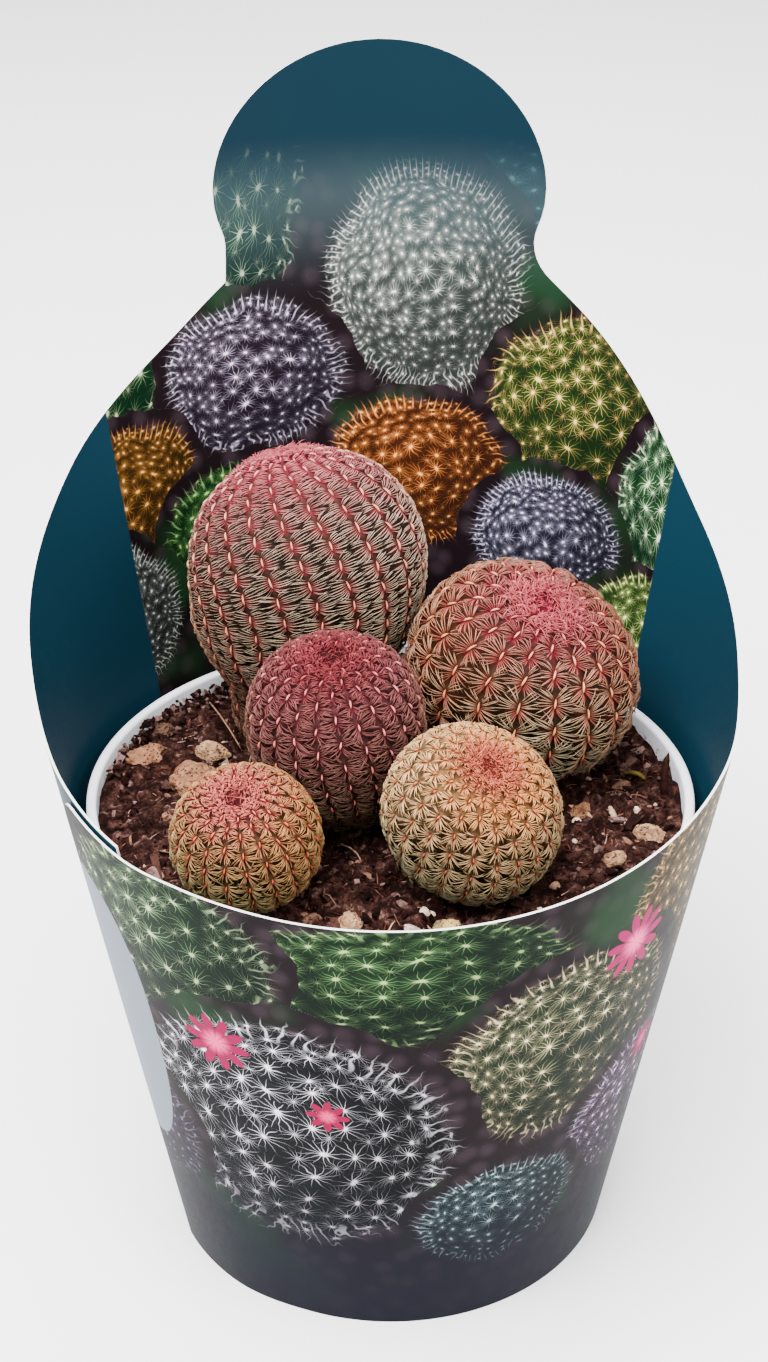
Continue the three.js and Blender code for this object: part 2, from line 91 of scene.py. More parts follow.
class Tone:
    """A socket of a material. A sum written with it adds the nodes that work it out."""

    def __init__(self, tree, socket=None):
        self.tree = tree
        self.socket = socket

    def node(self, kind, settings=None, inputs=None, output=0):
        made = self.tree.nodes.new("ShaderNode" + kind)
        for name, value in (settings or {}).items():
            if name == "stops":
                elements = made.color_ramp.elements
                for extra in value[2:]:
                    elements.new(extra[0])
                for element, (place, colour) in zip(elements, value):
                    element.position = place
                    element.color = colour
            else:
                setattr(made, name, value)
        for name, value in (inputs or {}).items():
            if isinstance(value, Tone):
                self.tree.links.new(value.socket, made.inputs[name])
            else:
                made.inputs[name].default_value = value
        return Tone(self.tree, made.outputs[output])

    def maths(self, operation, *others):
        return self.node("Math", {"operation": operation}, dict(enumerate((self, *others))))

    def __add__(self, other):
        return self.maths("ADD", other)

    def __sub__(self, other):
        return self.maths("SUBTRACT", other)

    def __rsub__(self, other):
        return self.maths("MULTIPLY_ADD", -1, other)

    def __mul__(self, other):
        return self.maths("MULTIPLY", other)

    __radd__ = __add__
    __rmul__ = __mul__

    def vector(self, operation, *values):
        names = {0: self, "Scale": values[0]} if operation == "SCALE" else dict(enumerate((self, *values)))
        return self.node("VectorMath", {"operation": operation}, names, 1 if operation == "LENGTH" else 0)

    def parts(self):
        return [self.node("SeparateXYZ", None, {0: self}, i) for i in range(3)]

    def step(self, low, high):
        settings = {"interpolation_type": "SMOOTHSTEP"}
        return self.node("MapRange", settings, {"Value": self, "From Min": low, "From Max": high})

    def ramp(self, *stops):
        stops = [(place, paint(*colour)) for place, colour in stops]
        return self.node("ValToRGB", {"stops": stops}, {0: self})

    def mixed(self, other, share):
        return tone_mix(self, self, other, share)

    def moved(self, other, share):
        """A blend of two vectors."""
        return self.node("Mix", {"data_type": "VECTOR"}, {0: share, 4: self, 5: other}, 1)

    def output(self, number):
        """Another output of the node that this one comes from."""
        return Tone(self.tree, self.socket.node.outputs[number])

    def speckle(self, scale, detail=3.0, rough=0.55):
        inputs = {"Vector": self, "Scale": scale, "Detail": detail, "Roughness": rough}
        return self.node("TexNoise", None, inputs)

    def relief(self, distance, strength=1.0, under=None):
        inputs = {"Height": self, "Distance": distance, "Strength": strength}
        if under is not None:
            inputs["Normal"] = under
        return self.node("Bump", None, inputs)


GREY_WEIGHTS = (0.2126, 0.7152, 0.0722)
COLOUR_BOOST = 1.2
HIGHLIGHT_BOOST = 0.6
STUDIO_LIGHT = 2.3


def paint(red, green, blue):
    """Linear colour of a surface that is to look like this red, green and blue, from 0 to 255."""
    linear = np.array([red, green, blue], float) / 255
    linear = np.where(linear > 0.04045, ((linear + 0.055) / 1.055) ** 2.4, linear / 12.92)
    grey = linear @ np.array(GREY_WEIGHTS)
    linear = np.clip(grey + (linear - grey) * COLOUR_BOOST, 0.001, 1)
    linear = linear / (1 - HIGHLIGHT_BOOST * linear) / STUDIO_LIGHT
    return (*np.clip(linear, 0, 0.9).tolist(), 1.0)


def new_material(name, **sockets):
    """A material with these values on its shader, a Tone to write its patterns with, its shader, and
    the place of a point on the piece."""
    material = bpy.data.materials.new(name)
    material.use_nodes = True
    shader = material.node_tree.nodes["Principled BSDF"]
    for socket, value in sockets.items():
        shader.inputs[socket.replace("_", " ")].default_value = value
    tone = Tone(material.node_tree)
    return material, tone, shader, tone.node("TexCoord", None, None, 3)


def tone_mix(tone, first, second, share):
    """A blend of two plain colours."""
    return tone.node("Mix", {"data_type": "RGBA"}, {0: share, 6: first, 7: second}, 2)


def feed(shader, **tones):
    for socket, tone in tones.items():
        shader.id_data.links.new(tone.socket, shader.inputs[socket.replace("_", " ")])


def start_shape(primitive, **settings):
    """Adds a primitive with nothing else selected."""
    bpy.ops.object.select_all(action="DESELECT")
    primitive(**settings)
    return bpy.context.object


def choose(piece):
    """Makes a piece the one that the next tools work on."""
    bpy.ops.object.select_all(action="DESELECT")
    piece.select_set(True)
    bpy.context.view_layer.objects.active = piece


def edit():
    bpy.ops.object.mode_set(mode="EDIT")
    bpy.ops.mesh.select_all(action="SELECT")


def close_up(merge=1e-6):
    """Merges doubled corners of the active mesh and turns its faces outwards."""
    edit()
    bpy.ops.mesh.remove_doubles(threshold=merge)
    bpy.ops.mesh.normals_make_consistent(inside=False)
    bpy.ops.object.mode_set(mode="OBJECT")


def finish_piece(piece, name, material, slot, *replaced, angle=180):
    """Names a modelled piece, smooths it, gives it its finish and fixes it to the frame."""
    piece.name = piece.data.name = name
    if material:
        piece.data.materials.append(material)
    choose(piece)
    if angle >= 180:
        bpy.ops.object.shade_smooth()
    else:
        bpy.ops.object.shade_smooth_by_angle(angle=math.radians(angle))
    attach(piece, "root")
    if replaced:
        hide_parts(*replaced)


def turn_outline(outline, steps):
    """Turns a closed outline of [radius, height] corners round the upright axis into a solid."""
    turned = start_shape(bpy.ops.mesh.primitive_plane_add, size=1, location=(0, 0, 0))
    edit()
    bpy.ops.mesh.merge(type="CENTER")
    start = np.array(outline[0]) * MM
    bpy.ops.transform.translate(value=(start[0], 0, start[1]))
    for before, after in zip(outline, outline[1:]):
        way = (np.array(after, float) - np.array(before)) * MM
        move = {"value": (way[0], 0, way[1])}
        bpy.ops.mesh.extrude_region_move(TRANSFORM_OT_translate=move)
    bpy.ops.mesh.select_all(action="SELECT")
    bpy.ops.mesh.spin(steps=steps, angle=2 * math.pi, center=(0, 0, 0), axis=(0, 0, 1))
    bpy.ops.object.mode_set(mode="OBJECT")
    close_up()
    return turned


def rounded(outline, corners, radius, cuts=4):
    """Rounds the numbered corners of an outline with an arc of short edges."""
    smooth_line = []
    for i, corner in enumerate(outline):
        if i not in corners:
            smooth_line.append(corner)
            continue
        here, before, after = (np.array(outline[j], float) for j in (i, i - 1, i + 1))
        into = here - (here - before) / np.linalg.norm(here - before) * radius
        out = here + (after - here) / np.linalg.norm(after - here) * radius
        for share in np.linspace(0, 1, cuts):
            bend = into * (1 - share) ** 2 + 2 * here * share * (1 - share) + out * share**2
            smooth_line.append(bend.tolist())
    return smooth_line


def pot_inside(z):
    """Radius of the pot's inside face at a height."""
    if z < POT_SHOULDER_HEIGHT:
        share = z / POT_SHOULDER_HEIGHT
        return POT_BASE_RADIUS + (POT_SHOULDER_RADIUS - POT_BASE_RADIUS) * share - POT_WALL
    share = (z - POT_SHOULDER_HEIGHT) / (POT_HEIGHT - POT_SHOULDER_HEIGHT)
    return POT_RIM_RADIUS - LIP_WIDTH - BAND_DRAFT * (1 - share)


band = POT_RIM_RADIUS - BAND_INSET
pot_outline = [
    [0, 0],
    [POT_BASE_RADIUS, 0],
    [POT_SHOULDER_RADIUS, POT_SHOULDER_HEIGHT],
    [band - BAND_DRAFT, POT_SHOULDER_HEIGHT + BAND_STEP],
    [band, POT_HEIGHT - LIP_HEIGHT - LIP_UNDERCUT],
    [POT_RIM_RADIUS, POT_HEIGHT - LIP_HEIGHT],
    [POT_RIM_RADIUS, POT_HEIGHT],
    [pot_inside(POT_HEIGHT), POT_HEIGHT],
    [pot_inside(POT_SHOULDER_HEIGHT + BAND_STEP), POT_SHOULDER_HEIGHT + BAND_STEP],
    [pot_inside(POT_SHOULDER_HEIGHT - HAIR), POT_SHOULDER_HEIGHT],
    [pot_inside(POT_FLOOR), POT_FLOOR],
    [0, POT_FLOOR],
]
pot = turn_outline(rounded(pot_outline, (1, 2, 3, 6, 7), EDGE_ROUND), POT_STEPS)
for i in range(DRAIN_COUNT):
    turn = 2 * math.pi * i / DRAIN_COUNT
    place = (DRAIN_RING_RADIUS * math.sin(turn) * MM, -DRAIN_RING_RADIUS * math.cos(turn) * MM, 0)
    size = {"vertices": DRILL_SIDES, "radius": DRAIN_RADIUS * MM, "depth": DRILL_LENGTH * MM}
    drill = start_shape(bpy.ops.mesh.primitive_cylinder_add, location=place, **size)
    choose(pot)
    cut = pot.modifiers.new("drain", "BOOLEAN")
    cut.operation = "DIFFERENCE"
    cut.solver = "EXACT"
    cut.object = drill
    bpy.ops.object.modifier_apply(modifier=cut.name)
    bpy.data.objects.remove(drill)

white_plastic, tone, shader, where = new_material("white_pot_plastic", Roughness=0.36, Subsurface_Weight=0.08)
shader.inputs["Subsurface Radius"].default_value = (0.002, 0.002, 0.002)
cloudy = where.speckle(60, 4)
dust = where.speckle(900, 2).step(0.56, 0.66)
near_peat = where.parts()[2].step((PEAT_LEVEL + SPLASH_HEIGHT) * MM, (PEAT_LEVEL - 0.5) * MM)
base = tone_mix(tone, paint(226, 227, 231), paint(244, 244, 245), cloudy)
soiled = base.mixed(paint(104, 78, 66), dust * near_peat * 0.85)
feed(shader, Base_Color=soiled, Roughness=cloudy * 0.14 + 0.32)
feed(shader, Normal=where.speckle(700, 2).relief(0.00004, 0.5))
finish_piece(pot, "nursery_pot", white_plastic, "pot", "pot", angle=35)


# Peat: dark and crumbly, pressed down by watering to a few millimetres under the lip. Its top is a fine
# lumpy skin with loose crumbs, bark chips, roots and fibres on it. At the back left a low bank of crumbs
# has washed against the pot's wall.
PEAT_LUMP = 0.8
PEAT_GAP = 0.1
PEAT_RINGS = 62
PEAT_COLUMNS = 260
BURIED_RINGS = 4
RINGS_TO_WALL = 0.86
SOFT_LUMPS = 0.9
CRUMBLY_LUMPS = 1.5
CRUMBS = 3300
BANK_CRUMBS = 560
BANK_ANGLES = (-172, -96)
BANK_WIDTH = 4.5
BANK_HEIGHT = 3.0
WALL_CLEAR = 0.6
CHIPS = 130
CHIP_LIFT = 0.5
FIBRES = 1900
draw = np.random.default_rng(20)


def ring_points(radius, turns):
    """Points on rings round the upright axis, at angles from the front in radians."""
    return np.stack([radius * np.sin(turns), -radius * np.cos(turns)], -1)


def peat_height(x, y):
    """Height of the lumpy peat, the same as the solid's, without its crumbs."""
    lumps = np.sin(x * 0.29 + 1.3) * np.cos(y * 0.33 + 0.4) + 0.6 * np.sin(x * 0.71 - y * 0.57)
    return PEAT_LEVEL + PEAT_LUMP * lumps


def rough(points, scale, octaves=3):
    """Soft noise between about -1 and 1 at points in millimetres."""
    return np.array([noise.fractal(Vector(p) * scale, 0.9, 2.1, octaves) for p in points])


def corners_of(piece):
    found = np.empty(len(piece.data.vertices) * 3)
    piece.data.vertices.foreach_get("co", found)
    return found.reshape(-1, 3)


def set_corners(piece, corners):
    piece.data.vertices.foreach_set("co", np.ascontiguousarray(corners, np.float32).ravel())
    piece.data.update()


def set_tints(mesh, tints):
    """Stores a colour on every corner of a mesh, which its material reads."""
    layer = mesh.color_attributes.new("tint", "FLOAT_COLOR", "POINT")
    full = np.ones((len(tints), 4), np.float32)
    full[:, :3] = tints
    layer.data.foreach_set("color", full.ravel())


settings = {"x_subdivisions": PEAT_COLUMNS, "y_subdivisions": PEAT_RINGS + BURIED_RINGS, "size": 2}
peat = start_shape(bpy.ops.mesh.primitive_grid_add, **settings)
flat = corners_of(peat)
turns = (flat[:, 0] + 1) * math.pi
ring = np.rint((flat[:, 1] + 1) / 2 * (PEAT_RINGS + BURIED_RINGS)).astype(int)
edge = pot_inside(PEAT_LEVEL) - PEAT_GAP
radius = edge * (np.minimum(ring, PEAT_RINGS) / PEAT_RINGS) ** RINGS_TO_WALL
x, y = ring_points(radius, turns).T
lumps = rough(np.stack([x, y, np.zeros_like(x)], -1), 0.2) * SOFT_LUMPS
lumps += 0.8 - CRUMBLY_LUMPS * np.abs(rough(np.stack([x, y, np.full_like(x, 9)], -1), 0.45))
height = peat_height(x, y) + lumps
band_z, floor_z = POT_SHOULDER_HEIGHT + BAND_STEP, POT_FLOOR + PEAT_GAP
buried = [(band_z, pot_inside(band_z)), (POT_SHOULDER_HEIGHT, pot_inside(POT_SHOULDER_HEIGHT - HAIR)),
          (floor_z, pot_inside(floor_z)), (floor_z, PEAT_GAP)]
for down, (z, wall) in enumerate(buried, PEAT_RINGS + 1):
    radius = np.where(ring == down, wall - PEAT_GAP, radius)
    height = np.where(ring == down, z, height)
x, y = ring_points(radius, turns).T
set_corners(peat, np.stack([x, y, height], -1) * MM)
bpy.context.view_layer.objects.active = peat
close_up(2e-6)

peat_soil, tone, shader, where = new_material("moist_peat", Roughness=0.93, Specular_IOR_Level=0.06)
lump = where.speckle(330, 7, 0.78)
brown = lump.ramp((0.34, (14, 4, 3)), (0.48, (42, 21, 17)), (0.58, (88, 60, 54)), (0.68, (162, 132, 124)))
waves = {"Vector": where, "Scale": 90, "Distortion": 14, "Detail": 3}
strands = where.node("TexWave", {"wave_type": "BANDS"}, waves)
hairy = strands.step(0.86, 1.0) * where.speckle(400).step(0.5, 0.62) * 0.7
feed(shader, Base_Color=brown.mixed(paint(104, 66, 54), hairy), Roughness=1.05 - where.speckle(90, 2) * 0.35)
feed(shader, Normal=(lump + strands * 0.25).relief(0.0014, 1.0))
finish_piece(peat, "peat_filling", peat_soil, "peat", "peat")


def unit_square(pattern, strand):
    """Places of a pattern's corners in a square: along a strand, or flat for a lump."""
    if strand:
        side = np.arctan2(pattern[:, 1], pattern[:, 0])
        across = np.where(pattern[:, 2] > 0.999, 0.5, np.round((side + math.pi) / math.pi * 1.5) / 3)
        return np.stack([across, np.clip(pattern[:, 2] + 0.04 * (across == across.min()), 0, 1)], -1)
    low, high = pattern.min(0), pattern.max(0)
    lean = pattern[:, :2] + 0.3 * pattern[:, 2:]
    return np.clip((lean - low[:2]) / (high[:2] - low[:2] + 0.3), 0, 1)


def take_pattern(shape, strand=False):
    """Reads a modelled shape for copying, and takes it away: its corners, its faces and the place of
    each corner in the small square of the colour map that a copy has to itself."""
    corners = corners_of(shape)
    faces = [tuple(face.vertices) for face in shape.data.polygons]
    bpy.data.objects.remove(shape)
    return corners, faces, unit_square(corners, strand)


def model_strand(cuts):
    """A slim three-sided strand, one high, that tapers through its cuts to a point."""
    strand = start_shape(bpy.ops.mesh.primitive_circle_add, vertices=3, radius=1, fill_type="NGON")
    edit()
    for before, after, taper in cuts:
        move = {"value": (0, 0, after - before)}
        bpy.ops.mesh.extrude_region_move(TRANSFORM_OT_translate=move)
        if taper > 0:
            bpy.ops.transform.resize(value=(taper, taper, 1))
        else:
            bpy.ops.mesh.merge(type="CENTER")
    bpy.ops.object.mode_set(mode="OBJECT")
    close_up()
    return take_pattern(strand, True)


def lay_copies(name, pattern, corners, tints, material, slot, angle=180):
    """A finished piece of many copies of a pattern. corners and tints are (copy, corner, 3), in mm."""
    _, faces, square = pattern
    count, each, _ = corners.shape
    mesh = bpy.data.meshes.new(name)
    mesh.vertices.add(count * each)
    mesh.vertices.foreach_set("co", np.ascontiguousarray(corners * MM, np.float32).ravel())
    loops = np.concatenate([np.array(face) for face in faces])
    sizes = np.array([len(face) for face in faces])
    starts = np.concatenate([[0], np.cumsum(sizes)[:-1]])
    shift = np.arange(count)[:, None]
    mesh.loops.add(count * len(loops))
    mesh.loops.foreach_set("vertex_index", (loops[None] + shift * each).ravel().astype(np.int32))
    mesh.polygons.add(count * len(faces))
    mesh.polygons.foreach_set("loop_start", (starts[None] + shift * len(loops)).ravel().astype(np.int32))
    mesh.polygons.foreach_set("loop_total", np.tile(sizes, count).astype(np.int32))
    mesh.update(calc_edges=True)
    set_tints(mesh, tints.reshape(-1, 3))
    across = math.ceil(math.sqrt(count))
    cell = np.stack([shift[:, 0] % across, shift[:, 0] // across], -1)[:, None]
    places = (cell + 0.1 + 0.8 * square[loops][None]) / across
    layer = mesh.uv_layers.new(name="OFBake")
    layer.uv.foreach_set("vector", places.astype(np.float32).ravel())
    piece = bpy.data.objects.new(name, mesh)
    bpy.context.collection.objects.link(piece)
    finish_piece(piece, name, material, slot, angle=angle)


def unit(vectors):
    return vectors / np.maximum(np.linalg.norm(vectors, axis=-1, keepdims=True), 1e-9)


def grow_strands(pattern, path, thick):
    """Bends copies of a strand along paths. path(t) gives a point per copy, and thick its radius."""
    corners = pattern[0]
    grown = np.empty((len(thick), len(corners), 3))
    for height in np.unique(np.round(corners[:, 2], 5)):
        here, ahead = path(height), path(height + 0.02)
        along = unit(ahead - here)
        side = unit(np.cross(along, [0.31, 0.17, 0.93]))
        other = np.cross(along, side)
        for i in np.nonzero(np.abs(corners[:, 2] - height) < 1e-4)[0]:
            offset = corners[i, 0] * side + corners[i, 1] * other
            grown[:, i] = here + offset * thick[:, None]
    return grown


def jumble(count):
    """Random turns, as matrices."""
    turned = draw.normal(size=(count, 3, 3))
    first = unit(turned[:, 0])
    second = unit(np.cross(first, turned[:, 1]))
    return np.stack([first, second, np.cross(first, second)], 1)


def on_peat(count):
    """Random places on the peat, evenly over its disc."""
    radius = (edge - WALL_CLEAR) * np.sqrt(draw.random(count)) * 0.97
    places = ring_points(radius, draw.random(count) * 2 * math.pi)
    return places, peat_height(*places.T)


def on_bank(count):
    """Random places in the bank at the pot's wall."""
    inward = BANK_WIDTH * draw.random(count) ** 1.6
    places = ring_points(edge - 0.7 - inward, np.radians(draw.uniform(*BANK_ANGLES, count)))
    rise = BANK_HEIGHT * (1 - inward / BANK_WIDTH) * draw.random(count) ** 0.7
    return places, peat_height(*places.T) + rise


def tint_of(*colours):
    return np.array([paint(*colour)[:3] for colour in colours])


def scatter(name, pattern, count, sizes, ragged, colours, sunk, material, slot, lay=on_peat):
    """Strews lumps over the peat, each of its own size, turn, raggedness and colour."""
    corners = pattern[0]
    places, height = lay(count)
    size = sizes[0] + (sizes[1] - sizes[0]) * draw.random((count, 3)) ** 2
    shape = corners * (1 + ragged * (draw.random((count, len(corners), 1)) - 0.5))
    shape = np.einsum("cvi,cij->cvj", shape * size[:, None] / 2, jumble(count))
    shape += np.column_stack([places, height + size.min(1) * sunk])[:, None]
    picked = tint_of(*colours)[draw.integers(len(colours), size=count)]
    light = 0.7 + 0.6 * draw.random((count, len(corners), 1))
    lay_copies(name, pattern, shape, picked[:, None] * light, material, slot, angle=30)


def tinted_material(name, stain, grain, edges, share, **sockets):
    """A finish that takes its colour from the tint of each corner, with fine stains on it."""
    material, tone, shader, where = new_material(name, **sockets)
    tint = tone.node("VertexColor", {"layer_name": "tint"})
    spots = where.speckle(*grain)
    feed(shader, Base_Color=tint.mixed(paint(*stain), spots.step(*edges) * share))
    return material, shader, where, spots


lump_pattern = take_pattern(start_shape(bpy.ops.mesh.primitive_ico_sphere_add, subdivisions=1, radius=1))
chip = start_shape(bpy.ops.mesh.primitive_cube_add, size=2)
edit()
bpy.ops.mesh.subdivide(number_cuts=1)
bpy.ops.object.mode_set(mode="OBJECT")
chip_pattern = take_pattern(chip)
fibre_pattern = model_strand([(0, 0.3, 1.0), (0.3, 0.6, 0.95), (0.6, 0.85, 0.8), (0.85, 1.0, 0)])

litter, shader, where, grain = tinted_material(
    "peat_litter", (20, 9, 6), (900, 5, 0.7), (0.54, 0.36), 0.6, Roughness=0.88, Specular_IOR_Level=0.06)
feed(shader, Normal=grain.relief(0.0005, 0.9))

DARK_PEAT = [
    (22, 8, 6), (34, 16, 13), (52, 29, 25), (70, 46, 42), (98, 73, 69), (146, 120, 114), (40, 18, 16),
]
scatter("peat_crumbs", lump_pattern, CRUMBS, (0.4, 2.6), 1.0, DARK_PEAT, 0.3, litter, "peat")
scatter("peat_bank", lump_pattern, BANK_CRUMBS, (0.6, 2.2), 1.0, DARK_PEAT, 0, litter, "peat", on_bank)

BARK = [(58, 34, 29), (84, 57, 50), (112, 86, 79), (40, 20, 18), (148, 124, 117)]
corners = chip_pattern[0]
places, height = on_peat(CHIPS)
long = 1.2 + 3.4 * draw.random(CHIPS) ** 2
size = np.stack([long, 0.5 + 0.9 * draw.random(CHIPS), 0.2 + 0.2 * draw.random(CHIPS)], -1)
flat = corners * size[:, None] * (1 + 0.4 * (draw.random((CHIPS, len(corners), 3)) - 0.5))
swing = draw.random(CHIPS) * 2 * math.pi
tip_up = draw.random(CHIPS) - 0.5
along = np.stack([np.cos(swing) * np.cos(tip_up), np.sin(swing) * np.cos(tip_up), np.sin(tip_up)], -1)
side = np.stack([-np.sin(swing), np.cos(swing), 0 * swing], -1)
flat = np.einsum("cvi,cij->cvj", flat, np.stack([along, side, np.cross(along, side)], 1))
flat += np.column_stack([places, height + CHIP_LIFT])[:, None]
kept = np.linalg.norm(flat[..., :2], axis=-1).max(1) < edge - 0.3
picked = tint_of(*BARK)[draw.integers(len(BARK), size=CHIPS)][:, None]
tints = picked * (0.7 + 0.6 * draw.random((CHIPS, len(corners), 1)))
lay_copies("bark_chips", chip_pattern, flat[kept], tints[kept], litter, "peat", angle=40)

FIBRE_TONES = [(84, 44, 38), (112, 68, 58), (146, 104, 92), (56, 28, 26), (176, 142, 130), (206, 180, 166)]
FIBRE_SHARES = [0.27, 0.26, 0.17, 0.17, 0.09, 0.04]
places, height = on_peat(FIBRES)
swing = draw.random(FIBRES) * 2 * math.pi
length = 2.0 + 7.5 * draw.random(FIBRES) ** 2.2
heading = np.stack([np.cos(swing), np.sin(swing), (draw.random(FIBRES) - 0.35) * 0.5], -1)
sweep = np.stack([-np.sin(swing), np.cos(swing), 0 * swing], -1) * (draw.random((FIBRES, 1)) - 0.5) * 1.1
root = np.column_stack([places, height + (0.35 + 0.5 * draw.random(FIBRES))])


def fibre_path(t):
    bend = np.array([0, 0, -0.5]) * (t - 0.2) ** 2
    return root + length[:, None] * (heading * (t - 0.5) + sweep * (t - 0.5) ** 2 + bend)


thick = (0.05 + 0.09 * draw.random(FIBRES)) * np.where(draw.random(FIBRES) < 0.1, 1.8, 1)
strands = grow_strands(fibre_pattern, fibre_path, thick)
kept = np.linalg.norm(strands[..., :2], axis=-1).max(1) < edge - 0.2
picked = tint_of(*FIBRE_TONES)[draw.choice(len(FIBRE_TONES), size=FIBRES, p=FIBRE_SHARES)]
tints = np.repeat(picked[:, None], len(fibre_pattern[0]), 1)
lay_copies("peat_fibres", fibre_pattern, strands[kept], tints[kept], litter, "peat")

# Single strands and shreds: start, end, sag, radius and colour. The first stands by the middle head, the
# next leans on the large one, then a root between the two front heads, bark and a green shred at the rim
STALKS = [
    ((-29, 13.8, 95), (-28.6, 13.6, 104.2), (0.8, 0, 0), 0.3, (198, 176, 160)),
    ((-37.6, 29.2, 101.2), (-30.2, 16.6, 96.6), (0, 0, 0.8), 0.28, (176, 142, 122)),
    ((-9.6, -17.4, 96.6), (-5.6, -23.6, 96.4), (0.7, 0, 0.5), 0.26, (190, 164, 152)),
    ((55.2, 1.6, 93.6), (55.4, 3.4, 104.6), (-0.6, 0, 0), 1.0, (58, 34, 30)),
    ((47.2, 7.2, 96.9), (51.4, 4.2, 97.2), (0, 0.4, 0.9), 0.8, (118, 106, 62)),
    ((22, -50, 96.6), (30, -45, 96.8), (0, 0.9, 0.8), 0.22, (168, 138, 126)),
    ((-44, -20, 96.8), (-38, -27, 97), (1.2, 0, 0.9), 0.2, (172, 140, 120)),
]
first, last, sag = (np.array([stalk[i] for stalk in STALKS], float) for i in range(3))


def stalk_path(t):
    return first + (last - first) * t + sag * 4 * t * (1 - t)


strands = grow_strands(fibre_pattern, stalk_path, np.array([stalk[3] for stalk in STALKS]))
tints = np.repeat(tint_of(*(stalk[4] for stalk in STALKS))[:, None], len(fibre_pattern[0]), 1)
lay_copies("loose_stalks", fibre_pattern, strands, tints, litter, "peat")


# Stones: pumice and clay lumps as found in cactus soil, rough and full of small pores. Twelve larger
# ones lie half sunk in the peat, and small grains of the same stuff lie between them.
STONES = [
    ((-50.2, 16), (8.6, 6, 5.4), 20, "tan"), ((-47.4, 26), (5, 3.4, 3), 10, "brown"),
    ((-38.4, 3.4), (11.4, 9.6, 8.4), 35, "tan"), ((-36.4, 17.2), (7.4, 4.6, 3.8), -15, "pale"),
    ((37.6, -4.6), (4.8, 4, 3.6), 60, "tan"), ((50.2, -13.2), (6, 4.8, 4.4), -40, "pale"),
    ((42.6, -22.7), (4.6, 3.6, 3.4), 15, "pale"), ((46.6, 5), (4.2, 3.2, 2.8), 5, "brown"),
    ((10.2, -46.6), (5.8, 4.6, 4.4), 70, "yellow"), ((-7.4, -43.6), (4.6, 4.2, 4.2), 0, "pale"),
    ((4.2, -45.4), (4.8, 3, 2.8), -30, "white"), ((-14.6, -41.4), (3.2, 2.6, 2.6), 25, "brown"),
]
STONE_TONES = {
    "tan": ((166, 128, 104), (112, 78, 60), (194, 158, 130)),
    "brown": ((120, 92, 78), (74, 50, 41), (154, 126, 108)),
    "pale": ((180, 150, 124), (106, 78, 62), (216, 190, 162)),
    "yellow": ((198, 176, 130), (92, 88, 86), (224, 206, 164)),
    "white": ((206, 192, 180), (122, 104, 92), (236, 226, 216)),
}
STONE_SMALL = 4.4
STONE_SUNK = 0.18
STONE_SWELLS = [(0.09, 3.1), (0.08, 4.3), (0.06, 5.2)]
GRAINS = 120
GRAIN_TONES = [(196, 168, 146), (214, 196, 178), (168, 132, 110), (150, 116, 98), (228, 214, 200)]


def stone_material(kind):
    plain, deep, light = STONE_TONES[kind]
    material, tone, shader, where = new_material("pumice_" + kind, Roughness=0.9, Specular_IOR_Level=0.1)
    cloud = where.speckle(260 if kind == "yellow" else 420, 5, 0.62)
    pores = where.node("TexVoronoi", None, {"Vector": where, "Scale": 1500.0, "Randomness": 1.0})
    # Pits: the small pores, painted dark as painted shade inside them; the bump sinks them a little too
    pits = pores.step(0.4, 0.16) * where.speckle(500, 2).step(0.4, 0.54)
    colour = cloud.ramp((0.3, deep), (0.5, plain), (0.72, light))
    feed(shader, Base_Color=colour.mixed(paint(78, 54, 42), pits * 0.8))
    feed(shader, Normal=(where.speckle(1800, 4, 0.7) * 0.6 + cloud - pits).relief(0.0008, 1.0))
    return material


pumice = {kind: stone_material(kind) for kind in STONE_TONES}
for number, ((x, y), size, turn, kind) in enumerate(STONES):
    cuts = 5 if size[0] > STONE_SMALL else 4
    stone = start_shape(bpy.ops.mesh.primitive_ico_sphere_add, subdivisions=cuts, radius=1)
    ball = corners_of(stone)
    bump = np.zeros(len(ball))
    for axis, (most, pace) in enumerate(STONE_SWELLS):
        bump += most * np.sin(pace * ball[:, axis] + (axis + 1) * number)
    bump += 0.14 * rough(ball + number * 7, 1.7, 4) - 0.13 * np.abs(rough(ball + number * 5, 4.2, 4))
    shape = ball * np.array(size) * (1.03 + bump[:, None]) / 2
    swing = math.radians(turn)
    cos, sin = math.cos(swing), math.sin(swing)
    shape = shape @ np.array([[cos, sin, 0], [-sin, cos, 0], [0, 0, 1]])
    shape += [x, y, peat_height(x, y) + size[2] * STONE_SUNK]
    set_corners(stone, shape * MM)
    name = f"stone_{number + 1:02d}"
    finish_piece(stone, name + "_pumice", pumice[kind], "stones", name)

grit_stone, shader, where, grain = tinted_material(
    "pumice_grains", (96, 70, 58), (1500, 4, 0.7), (0.52, 0.34), 0.7, Roughness=0.9, Specular_IOR_Level=0.1)
feed(shader, Normal=grain.relief(0.0003, 0.8))
grain_pattern = take_pattern(start_shape(bpy.ops.mesh.primitive_ico_sphere_add, subdivisions=2, radius=1))
scatter("pumice_grit", grain_pattern, GRAINS, (0.9, 3.0), 0.3, GRAIN_TONES, 0.2, grit_stone, "stones")
